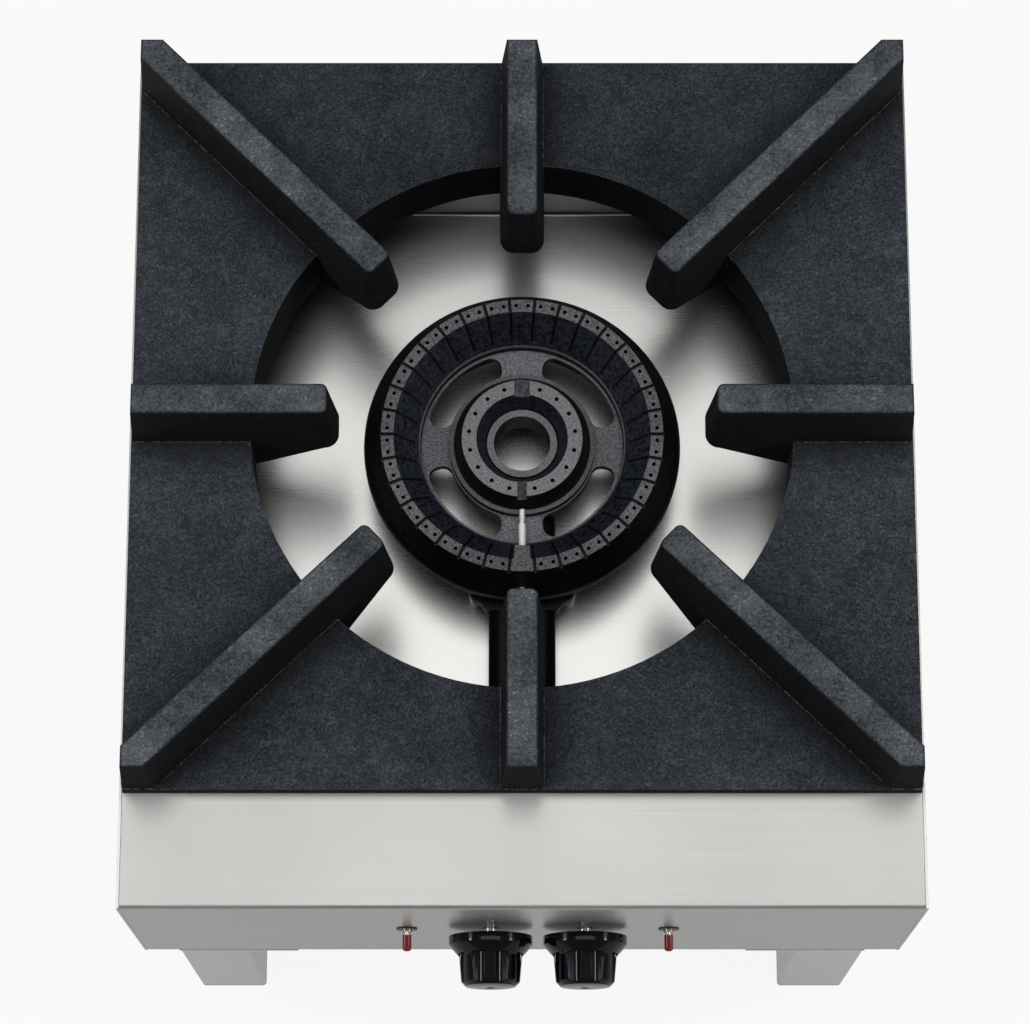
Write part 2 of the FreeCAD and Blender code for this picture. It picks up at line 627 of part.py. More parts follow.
for end in ("front", "back"):
    for side, sign in HANDS.items():
        leg = new_part(f"leg_{end}_{side}")

        def leg_y(text, end=end):
            return text if end == "front" else f"body_depth - ({text})"

        outer = f"{sign} * (body_width / 2 - leg_inset)"
        inner = f"{sign} * (body_width / 2 - leg_inset - leg_side)"
        ear = f"{sign} * (body_width / 2 - leg_inset - leg_side - ear_length)"
        square = box(outer, leg_y("0"), inner, leg_y("leg_side"))
        tube_length = "leg_height - plug_base - ear_gauge"
        pad(leg, outline(leg, "XY_Plane", [square], lift="plug_base"), tube_length)
        soften(leg, "leg_round", upright)
        inside = box(f"{outer} - {sign} * leg_gauge", leg_y("leg_gauge"),
                     f"{inner} + {sign} * leg_gauge", leg_y("leg_side - leg_gauge"))
        pocket(leg, outline(leg, "XY_Plane", [inside], lift="plug_base"), tube_length, back=True)
        cap = box(outer, leg_y("0"), ear, leg_y("leg_side"))
        pad(leg, outline(leg, "XY_Plane", [cap], lift="leg_height"), "ear_gauge", back=True)
        pocket(leg, rounds(leg, "XY_Plane", [(f"{sign} * {ear_x}", leg_y(y), leg_hole) for y in bolt_ys],
                           lift="leg_height"), "ear_gauge")
        place(leg, y=PANEL_Y)

        foot = new_part(f"foot_plug_{end}_{side}")
        pad(foot, outline(foot, "XY_Plane", [square]), "plug_base")
        soften(foot, "leg_round", upright)
        wall = "(leg_gauge + plug_gap)"
        core = box(f"{outer} - {sign} * {wall}", leg_y(wall),
                   f"{inner} + {sign} * {wall}", leg_y(f"leg_side - {wall}"))
        pad(foot, outline(foot, "XY_Plane", [core]), "plug_base + plug_insert")
        place(foot, y=PANEL_Y)

# Grate: one casting. It is drawn about the burner axis with z = 0 at the top of its plate.

grate = new_part("grate")
half_w = f"({PLATE_W} / 2)"
to_front = f"({AXIS_Y} - ledge_depth)"
to_back = f"({PLATE_D} - {to_front})"
plate_plan = box(f"-{half_w}", f"-{to_front}", half_w, to_back)
pad(grate, outline(grate, "XY_Plane", [plate_plan]), "plate_thickness", back=True)
soften(grate, "plate_round", upright)
pad(grate, rounds(grate, "XY_Plane", [("0", "0", "hole_radius + collar_wall")]), "collar_depth", back=True)
pocket(grate, rounds(grate, "XY_Plane", [("0", "0", "hole_radius")]))

lug_front = f"({to_front} - seat_flange - lug_play)"
lug_back = f"(body_depth - {AXIS_Y} - seat_flange - lug_play)"
lugs = []
for sign in (-1, 1):
    left = f"{sign} * lug_offset - lug_length / 2"
    right = f"{sign} * lug_offset + lug_length / 2"
    lugs.append(box(left, f"-{lug_front}", right, f"lug_width - {lug_front}"))
    lugs.append(box(left, f"{lug_back} - lug_width", right, lug_back))
pad(grate, outline(grate, "XY_Plane", lugs, lift="-plate_thickness"), "lug_drop", back=True)


def corner_finger(depth, way):
    """Heading and plan of a right corner finger, cut off by the two edges of the plate."""
    reach = f"sqrt({half_w} ^ 2 + {depth} ^ 2)"
    cosine = f"({half_w} / {reach})"
    sine = f"({depth} / {reach})"
    side_x = f"{HALF_FINGER} * {sine}"
    side_y = f"{HALF_FINGER} * {cosine}"
    tip_x = f"corner_tip_radius * {cosine}"
    tip_y = f"corner_tip_radius * {sine}"
    corners = [
        (f"{tip_x} + {side_x}", f"{tip_y} - {side_y}"),
        (half_w, f"({half_w} - {side_x}) * {depth} / {half_w} - {side_y}"),
        (half_w, depth),
        (f"({depth} - {side_y}) * {half_w} / {depth} - {side_x}", depth),
        (f"{tip_x} - {side_x}", f"{tip_y} + {side_y}"),
    ]
    heading = f"{way} * (atan({depth} / {half_w}) / (1 deg))"
    return heading, [(x, f"{way} * ({y})") for x, y in corners]


back_heading, back_plan = corner_finger(to_back, "1")
front_heading, front_plan = corner_finger(to_front, "-1")
side_plan = box("finger_tip_radius", f"-{HALF_FINGER}", half_w, HALF_FINGER)
rear_plan = box(f"-{HALF_FINGER}", "finger_tip_radius", HALF_FINGER, to_back)
fore_plan = box(f"-{HALF_FINGER}", f"-{to_front}", HALF_FINGER, "-finger_tip_radius")
fingers = (
    ("0", side_plan, (0, 3), "finger_tip_radius", True),
    (back_heading, back_plan, (0, 4), "corner_tip_radius", True),
    (front_heading, front_plan, (0, 4), "corner_tip_radius", True),
    ("90", rear_plan, (0, 1), "finger_tip_radius", False),
    ("-90", fore_plan, (2, 3), "finger_tip_radius", False),
)
web_end = "(hole_radius + collar_wall / 2)"
web_low = "(finger_root_rise - collar_depth)"
for heading, plan, tip_lines, tip, paired in fingers:
    plan_sketch = outline(grate, "XY_Plane", [plan], lift="-finger_tip_drop")
    for line in tip_lines:
        round_corner(plan_sketch, line, "finger_tip_round")
    upper = pad(grate, plan_sketch, "finger_rise + finger_tip_drop", draft="finger_draft")
    web = pad(grate, outline(grate, "XZ_Plane", [[
        (f"{tip} + finger_tip_round", "-finger_tip_drop"),
        (web_end, "-finger_tip_drop"),
        (web_end, web_low),
        ("hole_radius", web_low),
    ]], turn=heading), "finger_width", both=True)
    if paired:
        mirror(grate, [upper, web])
soften(grate, "finger_top_round", lambda edge: level(edge, "finger_rise"))
place(grate, y=BURNER_Y, z=PLATE_Z)

# Burner casting: two ring troughs joined by a spider, with twin mixing tubes to the front.
# It is drawn about the burner axis with z = 0 at the joint of the outer ring.

burner = new_part("burner_body")
inner_wall = "(inner_rim_radius - trough_wall)"
spin(burner, [
    ("ring_wall_radius", "0"),
    ("ring_wall_radius - trough_wall", "0"),
    ("ring_wall_radius - trough_wall", "-trough_depth"),
    ("slope_radius + trough_wall", "-trough_depth"),
    ("slope_radius + trough_wall", "0"),
    ("slope_radius", "0"),
    ("slope_radius", "-spider_top"),
    ("inner_rim_radius", "-spider_top"),
    ("inner_rim_radius", "inner_seat_rise"),
    (inner_wall, "inner_seat_rise"),
    (inner_wall, "-trough_depth"),
    ("hub_radius + hub_shoulder", "-trough_depth"),
    ("hub_radius + hub_shoulder", "-hub_seat"),
    ("hub_radius", "-hub_seat"),
    ("hub_radius", "hub_rise"),
    ("hub_bore", "hub_rise"),
    ("hub_bore", f"-{RING_FLOOR}"),
    ("inner_rim_radius", f"-{RING_FLOOR}"),
    ("inner_rim_radius", "-spider_top - spider_thickness"),
    ("slope_radius", "-spider_top - spider_thickness"),
    ("slope_radius", f"-{RING_FLOOR}"),
    ("ring_wall_radius", f"-{RING_FLOOR}"),
])
slot = spin(burner, [
    ("slot_inner_radius", "0"),
    ("slot_outer_radius", "0"),
    ("slot_outer_radius", "-2 * spider_top - spider_thickness"),
    ("slot_inner_radius", "-2 * spider_top - spider_thickness"),
], kind="PartDesign::Groove", turn="45", angle="slot_angle")
polar(burner, [slot], "4")


def slot_corner(edge):
    points = ends(edge)
    reach = (points[0].x ** 2 + points[0].y ** 2) ** 0.5
    return (upright(edge) and near(edge.Length, number("spider_thickness"))
            and number("slot_inner_radius") - 1 < reach < number("slot_outer_radius") + 1)


soften(burner, "slot_round", slot_corner)
front_mouth = f"({AXIS_Y} - {MIXER_Y})"
outer_port_y = "(-(ring_wall_radius + slope_radius) / 2)"
inner_port_y = "(-sqrt(inner_port_ring ^ 2 - mixer_offset ^ 2))"
mixers = (("-mixer_offset", outer_port_y), ("mixer_offset", inner_port_y))
for x, port_y in mixers:
    tube_back = f"{port_y} + mixer_radius"
    pad(burner, rounds(burner, "XZ_Plane", [(x, "-mixer_drop", "mixer_radius")], lift=f"-({tube_back})"),
        f"{front_mouth} + {tube_back}")
twin_half = "(mixer_offset + mixer_radius)"
flare_plan = []
for sign in (1, -1):
    bends = [(f"{sign} * ({twin_half} + flare_radius * (1 - sin({angle})))",
              f"-ring_wall_radius - flare_radius * (1 - cos({angle}))") for angle in (15, 40, 65)]
    foot = (f"{sign} * ({twin_half} + flare_radius)", "-ring_wall_radius + trough_wall")
    flare_plan += [foot, *bends] if sign > 0 else [*reversed(bends), foot]
pad(burner, outline(burner, "XY_Plane", [flare_plan], lift="-mixer_drop"),
    f"mixer_drop - {RING_FLOOR} + trough_floor / 2")
for x, port_y in mixers:
    pocket(burner, rounds(burner, "XZ_Plane", [(x, "-mixer_drop", "mixer_bore")], lift=front_mouth),
           f"{front_mouth} + {port_y} + mixer_port")
    pocket(burner, rounds(burner, "XY_Plane", [(x, port_y, "mixer_port")], lift="-trough_depth"),
           "mixer_drop - trough_depth")
place(burner, y=BURNER_Y, z=SEAT_Z)

# Outer ring cap: pads with two ports each, grooves between them and a plain bridge block in front.

outer_cap = new_part("outer_ring_cap")
spin(outer_cap, [
    ("ring_rim_radius", "-ring_lip"),
    ("ring_rim_radius", "-rim_drop"),
    ("pad_outer_radius", "ring_cap_height"),
    ("pad_inner_radius", "ring_cap_height"),
    ("slope_radius", "slope_foot"),
    ("slope_radius", "0"),
    ("slope_radius + trough_wall", "0"),
    ("pad_inner_radius + cap_slope_inset", "ring_cap_height - cap_wall"),
    ("pad_outer_radius - cap_shoulder_inset", "ring_cap_height - cap_wall"),
    ("ring_wall_radius - cap_wall", "cap_hollow_foot"),
    ("ring_wall_radius - cap_wall", "0"),
    ("ring_wall_radius + lip_gap", "0"),
    ("ring_wall_radius + lip_gap", "-ring_lip"),
])
slope_rate = "((ring_cap_height - slope_foot) / (pad_inner_radius - slope_radius))"
stop_z = f"(slope_foot + groove_stop * {slope_rate})"
groove = pocket(outer_cap, outline(outer_cap, "XZ_Plane", [[
    ("ring_rim_radius", "ring_cap_height + groove_depth"),
    ("ring_rim_radius", "ring_cap_height - groove_depth"),
    ("pad_inner_radius", "ring_cap_height - groove_depth"),
    ("slope_radius + groove_stop", f"{stop_z} - groove_depth / 2"),
    ("slope_radius + groove_stop", f"{stop_z} + groove_depth"),
    ("pad_inner_radius", "ring_cap_height + groove_depth"),
]], turn="-90 + 180 / pad_count"), "groove_width", both=True)
polar(outer_cap, [groove], "pad_count")

pad_ring = "((pad_outer_radius + pad_inner_radius) / 2)"
step = "(360 / pad_count)"


def first_pad(along, across):
    """Plan place on the pad next to the bridge: distance from the axis and sideways."""
    return (f"({along}) * sin({step}) + ({across}) * cos({step})",
            f"({across}) * sin({step}) - ({along}) * cos({step})")


ports = pocket(outer_cap, rounds(outer_cap, "XY_Plane", [
    (*first_pad(pad_ring, "-port_pitch / 2"), "port_radius"),
    (*first_pad(pad_ring, "port_pitch / 2"), "port_radius"),
], lift="ring_cap_height"), "ring_cap_height + ring_lip")
side_port = pocket(outer_cap, rounds(outer_cap, "XZ_Plane", [
    ("0", "side_port_height", "side_port_radius"),
], lift="ring_rim_radius", turn=step), "side_port_depth")
polar(outer_cap, [ports, side_port], "pad_count - 1", extent=f"360 - 2 * {step}")

pad(outer_cap, outline(outer_cap, "XY_Plane", [[
    ("-bridge_inner_width / 2", "-bridge_start"),
    ("bridge_inner_width / 2", "-bridge_start"),
    ("bridge_outer_width / 2", "-pad_outer_radius"),
    ("-bridge_outer_width / 2", "-pad_outer_radius"),
]], lift="slope_foot"), "ring_cap_height - slope_foot")
tunnel = "(pilot_radius + tunnel_gap)"
pocket(outer_cap, outline(outer_cap, "XZ_Plane", [
    box(f"-{tunnel}", "-2 * ring_lip", tunnel, f"pilot_rise + {tunnel}"),
], lift="ring_rim_radius + ring_lip"), "ring_rim_radius + ring_lip - slope_radius + groove_stop")
place(outer_cap, y=BURNER_Y, z=SEAT_Z)

# Inner ring cap: a flat ring of ports with a notch at the back and at the front.

inner_cap = new_part("inner_ring_cap")
lip_radius = "(hub_radius + hub_gap)"
spin(inner_cap, [
    ("inner_cap_radius", "0"),
    ("inner_cap_radius", "slope_foot"),
    ("inner_top_outer", "inner_cap_height"),
    ("inner_top_inner", "inner_cap_height"),
    (lip_radius, "hub_rise - inner_seat_rise"),
    (lip_radius, "-inner_seat_rise - hub_seat"),
    ("hub_radius + hub_shoulder", "-inner_seat_rise - hub_seat"),
    ("inner_top_inner + inner_slope_inset", "inner_cap_height - cap_wall"),
    ("inner_top_outer - inner_shoulder_inset", "inner_cap_height - cap_wall"),
    (inner_wall, "0"),
])
for sign in ("1", "-1"):
    turn = f"(90 - {sign} * inner_port_start)"
    hole = pocket(inner_cap, rounds(inner_cap, "XY_Plane", [
        (f"inner_port_ring * cos({turn})", f"inner_port_ring * sin({turn})", "inner_port_radius"),
    ], lift="inner_cap_height"), "inner_cap_height")
    row = polar(inner_cap, [hole], "inner_port_count", extent="(inner_port_count - 1) * inner_port_step")
    row.Reversed = sign == "1"
notch_floor = "(inner_cap_height - notch_depth)"
pocket(inner_cap, outline(inner_cap, "XY_Plane", [
    box("-back_notch / 2", "inner_top_inner - cut_past", "back_notch / 2", "inner_rim_radius + cut_past"),
    box("-front_notch / 2", "-inner_rim_radius - cut_past", "front_notch / 2", f"-{lip_radius} - cut_past"),
], lift=notch_floor), "2 * notch_depth", back=True)
place(inner_cap, y=BURNER_Y, z=f"{SEAT_Z} + inner_seat_rise")

# Controls. They are drawn with z pointing out of the panel and y upright, from the panel face.

OUT = dict(axis=(1, 0, 0), angle="90")
stub_length = "(manifold_drop - boss_top)"
plug_end = "(plug_start + plug_length)"
valve_end = "(sheet_gauge + valve_neck + valve_length)"
cock_front = "(sheet_gauge + cock_nut_length)"
cock_end = f"({cock_front} + cock_length)"

for side in ("left", "right"):
    valve = new_part(f"valve_body_{side}")
    tail_end = f"-{valve_end} - valve_tail"
    spin(valve, [
        ("0", "-sheet_gauge"),
        ("valve_neck_radius", "-sheet_gauge"),
        ("valve_neck_radius", "-sheet_gauge - valve_neck"),
        ("valve_radius", "-sheet_gauge - valve_neck"),
        ("valve_radius", f"-{valve_end}"),
        ("valve_tail_radius", f"-{valve_end}"),
        ("valve_tail_radius", tail_end),
        ("0", tail_end),
    ])
    pad(valve, outline(valve, "XY_Plane", [hexagon("nut_radius")], lift=tail_end), "nut_length")
    pad(valve, rounds(valve, "XZ_Plane", [("0", "-manifold_y", "inlet_stub_radius")]), stub_length)
    spin(valve, [
        ("0", "0"),
        ("stem_radius + run_gap", "0"),
        ("stem_radius + run_gap", "-plug_start"),
        ("plug_radius + run_gap", "-plug_start"),
        ("plug_radius + run_gap", f"-{plug_end} - bolt_gap"),
        ("0", f"-{plug_end} - bolt_gap"),
    ], kind="PartDesign::Groove")
    place(valve, x=knob_x[side], y=PANEL_Y, z=CONTROL_Z, **OUT)

    stem = new_part(f"valve_stem_{side}")
    spin(stem, [
        ("0", "knob_gap + stem_reach"),
        ("stem_radius", "knob_gap + stem_reach"),
        ("stem_radius", "-plug_start - bolt_gap"),
        ("plug_radius", "-plug_start - bolt_gap"),
        ("plug_radius", f"-{plug_end}"),
        ("0", f"-{plug_end}"),
    ])
    place(stem, x=knob_x[side], y=PANEL_Y, z=CONTROL_Z, **OUT)

    knob = new_part(f"knob_{side}")
    shoulder = "(knob_length - knob_crown)"
    eye_floor = "(knob_length - knob_eye_depth)"
    spin(knob, [
        ("stem_radius + run_gap", "0"),
        ("knob_radius", "0"),
        ("knob_radius", "knob_rim"),
        ("grip_radius", "grip_foot"),
        ("grip_end_radius", f"{shoulder} - grip_chamfer"),
        ("grip_end_radius - grip_chamfer", shoulder),
        ("knob_eye_radius", "knob_length"),
        ("knob_eye_radius", eye_floor),
        ("0", eye_floor),
        ("0", "stem_reach + bolt_gap"),
        ("stem_radius + run_gap", "stem_reach + bolt_gap"),
    ])
    flute = pocket(knob, rounds(knob, "XY_Plane", [
        ("flute_centre * cos(180 / flute_count)", "flute_centre * sin(180 / flute_count)", "flute_radius"),
    ], lift="knob_length"), "knob_length - grip_foot + knob_round")
    polar(knob, [flute], "flute_count")

    def skirt_edge(edge):
        points = ends(edge)
        reach = (points[0].x ** 2 + points[0].y ** 2) ** 0.5
        return near(reach, number("knob_radius")) and near(points[0].z, points[-1].z)

    soften(knob, "knob_round", skirt_edge)
    place(knob, x=knob_x[side], y=f"{PANEL_Y} - knob_gap", z=CONTROL_Z, **OUT)

    cock = new_part(f"pilot_valve_{side}")
    spin(cock, [
        ("0", "bushing_reach"),
        ("bushing_radius", "bushing_reach"),
        ("bushing_radius", f"-{cock_front}"),
        ("cock_radius", f"-{cock_front}"),
        ("cock_radius", f"-{cock_end}"),
        ("cock_tail_radius", f"-{cock_end}"),
        ("cock_tail_radius", f"-{cock_end} - cock_tail"),
        ("0", f"-{cock_end} - cock_tail"),
    ])
    for lift, length in ((f"-{cock_front}", "cock_nut_length"), (f"-{cock_end} - cock_tail", "nut_length")):
        pad(cock, outline(cock, "XY_Plane", [hexagon("cock_nut_radius")], lift=lift), length)
    pad(cock, rounds(cock, "XZ_Plane", [("0", "-manifold_y", "cock_stub_radius")]), stub_length)
    pocket(cock, rounds(cock, "XY_Plane", [("0", "0", "bushing_bore")], lift="bushing_reach"),
           "bushing_reach + bushing_bore_depth")
    place(cock, x=lever_x[side], y=PANEL_Y, z=CONTROL_Z, **OUT)

    washer = new_part(f"pilot_washer_{side}")
    pad(washer, rounds(washer, "XY_Plane", [
        ("0", "0", "washer_radius"), ("0", "0", "bushing_radius + run_gap"),
    ]), "washer_gauge")
    place(washer, x=lever_x[side], y=PANEL_Y, z=CONTROL_Z, **OUT)

    tilted = dict(x=lever_x[side], y=f"{PANEL_Y} + lever_pivot", z=CONTROL_Z,
                  axis=(1, 0, 0), angle="90 + lever_tilt")
    lever = new_part(f"pilot_lever_{side}")
    rod_end = "(sleeve_end - sleeve_cap)"
    spin(lever, [
        ("0", "-lever_tail"),
        ("lever_radius", "-lever_tail"),
        ("lever_radius", rod_end),
        ("0", rod_end),
    ])
    ball = [(f"lever_ball * cos({angle})", f"lever_ball * sin({angle})") for angle in range(-90, 91, 15)]
    spin(lever, [("0", y) if x.endswith("cos(-90)") or x.endswith("cos(90)") else (x, y) for x, y in ball])
    place(lever, **tilted)

    sleeve = new_part(f"lever_sleeve_{side}")
    spin(sleeve, [
        ("lever_radius + run_gap", "sleeve_start"),
        ("sleeve_radius", "sleeve_start"),
        ("sleeve_radius", "sleeve_end"),
        ("0", "sleeve_end"),
        ("0", f"{rod_end} + run_gap"),
        ("lever_radius + run_gap", f"{rod_end} + run_gap"),
    ])
    soften(sleeve, "sleeve_round", lambda edge: level(edge, "sleeve_end"))
    place(sleeve, **tilted)

# Manifold: a pipe behind the panel that turns along the right side to the inlet at the back.
# It is drawn with y from the panel face and z = 0 on its own axis.

manifold = new_part("manifold_pipe")
bend_x = f"({RETURN_X} - manifold_bend)"
bend_y = "(manifold_y + manifold_bend)"
pipe_end = "(body_depth - inlet_inside)"
pad(manifold, rounds(manifold, "YZ_Plane", [("manifold_y", "0", "manifold_radius")], lift="-manifold_left"),
    f"manifold_left + {bend_x}")
elbow_sketch = rounds(manifold, "YZ_Plane", [("manifold_y", "0", "manifold_radius")], lift=bend_x)
turn_line = Part.LineSegment(Vector(number(bend_y), -1, 0), Vector(number(bend_y), 1, 0))
hinge_line = elbow_sketch.addGeometry(turn_line, True)
elbow_sketch.addConstraint(Sketcher.Constraint("Vertical", hinge_line))
pin(elbow_sketch, "DistanceX", hinge_line, 1, bend_y)
elbow = manifold.newObject("PartDesign::Revolution", "manifold_pipe_elbow")
elbow.Profile = elbow_sketch
elbow.ReferenceAxis = (elbow_sketch, ["Axis0"])
elbow.Angle = 90
pad(manifold, rounds(manifold, "XZ_Plane", [(RETURN_X, "0", "manifold_radius")], lift=f"-{bend_y}"),
    f"{pipe_end} - {bend_y}", back=True)
pad(manifold, rounds(manifold, "XZ_Plane", [(RETURN_X, "0", "socket_radius")], lift=f"-{pipe_end}"),
    "socket_length")
pad(manifold, rounds(manifold, "XY_Plane", [
    *((x, "manifold_y", "boss_radius") for x in knob_x.values()),
    *((x, "manifold_y", "cock_boss_radius") for x in lever_x.values()),
]), "boss_top")
pocket(manifold, rounds(manifold, "XZ_Plane", [(RETURN_X, "0", "manifold_bore")], lift=f"-{pipe_end}"),
       "2 * socket_length", back=True)
place(manifold, y=PANEL_Y, z=MANIFOLD_Z)

end_plug = new_part("manifold_plug")
plug_plan = [(f"manifold_y + {x}", y) for x, y in hexagon("end_plug_radius")]
pad(end_plug, outline(end_plug, "YZ_Plane", [plug_plan], lift="-manifold_left"), "end_plug_length", back=True)
place(end_plug, y=PANEL_Y, z=MANIFOLD_Z)

inlet = new_part("gas_inlet")
inlet_step = "(body_depth + locknut_length)"
pad(inlet, rounds(inlet, "XZ_Plane", [("0", "0", "inlet_body_radius"), ("0", "0", "manifold_bore")],
                  lift=f"-{pipe_end}"), f"{inlet_step} - {pipe_end}", back=True)
pad(inlet, rounds(inlet, "XZ_Plane", [("0", "0", "inlet_radius"), ("0", "0", "manifold_bore")],
                  lift=f"-{inlet_step}"), "inlet_reach - locknut_length", back=True)
place(inlet, x=RETURN_X, y=PANEL_Y, z=MANIFOLD_Z)

locknut = new_part("inlet_locknut")
pad(locknut, outline(locknut, "XZ_Plane", [hexagon("locknut_radius")], lift="-body_depth"),
    "locknut_length", back=True)
nut_bore = ("0", "0", "inlet_body_radius + inlet_gap")
pocket(locknut, rounds(locknut, "XZ_Plane", [nut_bore], lift="-body_depth"), "locknut_length")
place(locknut, x=RETURN_X, y=PANEL_Y, z=MANIFOLD_Z)

for side, x in bracket_x.items():
    bracket = new_part(f"manifold_bracket_{side}")
    bracket_front = "manifold_y - bracket_width / 2"
    bracket_back = "manifold_y + bracket_width / 2"
    pad(bracket, outline(bracket, "YZ_Plane", [
        box(bracket_front, FOOT_Z, bracket_back, f"{MANIFOLD_Z} + bracket_top"),
    ]), "bracket_gauge")
    bracket_sole = box("0", bracket_front, "bracket_foot", bracket_back)
    pad(bracket, outline(bracket, "XY_Plane", [bracket_sole], lift=FOOT_Z), "bracket_gauge")
    pipe_hole = ("manifold_y", MANIFOLD_Z, "manifold_radius + bracket_gap")
    pocket(bracket, rounds(bracket, "YZ_Plane", [pipe_hole]), "bracket_gauge", back=True)
    pocket(bracket, rounds(bracket, "XY_Plane", [
        (bracket_hole, "manifold_y", screw_hole),
    ], lift=FOOT_Z), "bracket_gauge", back=True)
    place(bracket, x=x, y=PANEL_Y)

# Injectors on a plate that hangs under the front rim of the pan.

plate = new_part("injector_plate")
plate_top = f"({PAN_Z} - pan_gauge)"
plate_half = "(injector_plate_width / 2)"
saddle = f"({MIXER_Z} + injector_thread + injector_plate_gauge)"
pad(plate, outline(plate, "XZ_Plane", [[
    (f"-{plate_half}", plate_top),
    (f"-{plate_half}", f"{MIXER_Z} - injector_plate_drop"),
    (plate_half, f"{MIXER_Z} - injector_plate_drop"),
    (plate_half, plate_top),
    (f"{plate_half} - tab_width", plate_top),
    (f"{plate_half} - tab_width", saddle),
    (f"tab_width - {plate_half}", saddle),
    (f"tab_width - {plate_half}", plate_top),
]], lift=f"-{INJECTOR_Y}"), "injector_plate_gauge", back=True)
tabs = [box(f"{sign} * {plate_half}", INJECTOR_Y,
            f"{sign} * ({plate_half} - tab_width)", f"{PAN_FRONT} - 2 * pan_gauge")
        for sign in HANDS.values()]
pad(plate, outline(plate, "XY_Plane", tabs, lift=plate_top), "injector_plate_gauge", back=True)
pocket(plate, rounds(plate, "XZ_Plane", [
    (f"{sign} * mixer_offset", MIXER_Z, "injector_thread + run_gap") for sign in HANDS.values()
], lift=f"-{INJECTOR_Y}"), "injector_plate_gauge")
pocket(plate, rounds(plate, "XY_Plane", tab_holes, lift=plate_top), "injector_plate_gauge")
place(plate, y=PANEL_Y)

mixer_x = {"left": "(-mixer_offset)", "right": "mixer_offset"}
for side, x in mixer_x.items():
    injector = new_part(f"injector_{side}")
    nose = "(injector_plate_gauge + injector_nose)"
    spin(injector, [
        ("injector_orifice", f"-{nose}"),
        ("injector_thread / 2", f"-{nose}"),
        ("injector_thread", "-injector_plate_gauge - injector_nose / 2"),
        ("injector_thread", "0"),
        ("injector_thread", "injector_head / 2"),
        ("injector_orifice", "injector_head / 2"),
    ])
    pad(injector, outline(injector, "XY_Plane", [hexagon("injector_hex")]), "injector_head")
    spin(injector, [
        ("0", "injector_head"),
        ("feed_radius + run_gap", "injector_head"),
        ("feed_radius + run_gap", "injector_head / 2"),
        ("injector_orifice", "injector_head / 2"),
        ("injector_orifice", f"-{nose}"),
        ("0", f"-{nose}"),
    ], kind="PartDesign::Groove")
    place(injector, x=x, y=f"{PANEL_Y} + {INJECTOR_Y}", z=MIXER_Z, **OUT)


def bent_tube(label, corners, radius, bend):
    """Round rod swept along straight runs joined by bends."""
    points = [Vector(*(number(text) for text in corner)) for corner in corners]
    runs = []
    start = points[0]
    for before, corner, after in zip(points, points[1:], points[2:]):
        to_before = (before - corner).normalize()
        to_after = (after - corner).normalize()
        half = to_before.getAngle(to_after) / 2
        cut = number(bend) / math.tan(half)
        entry = corner + to_before * cut
        leave = corner + to_after * cut
        middle_way = (to_before + to_after).normalize()
        centre = corner + middle_way * (cut ** 2 + number(bend) ** 2) ** 0.5
        runs.append(Part.LineSegment(start, entry).toShape())
        runs.append(Part.Arc(entry, centre - middle_way * number(bend), leave).toShape())
        start = leave
    runs.append(Part.LineSegment(start, points[-1]).toShape())
    path = Part.Wire(runs)
    ring = Part.Circle(points[0], points[1] - points[0], number(radius)).toShape()
    tube = doc.addObject("Part::Feature", label)
    tube.Label = label
    tube.Shape = path.makePipeShell([Part.Wire([ring])], True, False)
    place(tube, y=PANEL_Y)
    made.append(tube)


for side in ("left", "right"):
    valve_out = f"({valve_end} + valve_tail)"
    socket_y = f"({INJECTOR_Y} - injector_head / 2)"
    bent_tube(f"feed_tube_{side}", (
        (knob_x[side], valve_out, CONTROL_Z),
        (knob_x[side], f"{valve_out} + feed_bend / 2", CONTROL_Z),
        (mixer_x[side], f"{INJECTOR_Y} - injector_head - feed_bend / 2", MIXER_Z),
        (mixer_x[side], socket_y, MIXER_Z),
    ), "feed_radius", "feed_bend")

# Pilot lines: the inner one runs through the bridge to the inner ring, the outer one stops at the rim.

low_z = f"({PLATE_Z} - collar_depth - pilot_low)"
pilot_z = f"({SEAT_Z} + pilot_rise)"
rim_y = f"({AXIS_Y} - ring_rim_radius)"
cock_out = f"({cock_end} + cock_tail)"
inner_end = f"({AXIS_Y} - pilot_end)"
outer_end = f"({AXIS_Y} - pilot_stop - nozzle_nut_length - nozzle_length)"
bent_tube("pilot_tube_inner", (
    (lever_x["left"], cock_out, CONTROL_Z),
    (lever_x["left"], f"{cock_out} + 2 * pilot_bend", CONTROL_Z),
    (f"{lever_x['left']} * pilot_waist", f"{INJECTOR_Y} - injector_head", low_z),
    ("0", f"{INJECTOR_Y} + pilot_bend", low_z),
    ("0", f"{PAN_FRONT} + pilot_bend", low_z),
    ("0", f"{rim_y} - 2 * pilot_bend", pilot_z),
    ("0", inner_end, pilot_z),
), "pilot_radius", "pilot_bend")
bent_tube("pilot_tube_outer", (
    (lever_x["right"], cock_out, CONTROL_Z),
    (lever_x["right"], f"{cock_out} + 2 * pilot_bend", CONTROL_Z),
    (f"{lever_x['right']} * pilot_waist", f"{INJECTOR_Y} - injector_head", low_z),
    ("pilot_spread", f"{INJECTOR_Y} + pilot_bend", low_z),
    ("pilot_spread", outer_end, low_z),
), "pilot_radius", "pilot_bend")

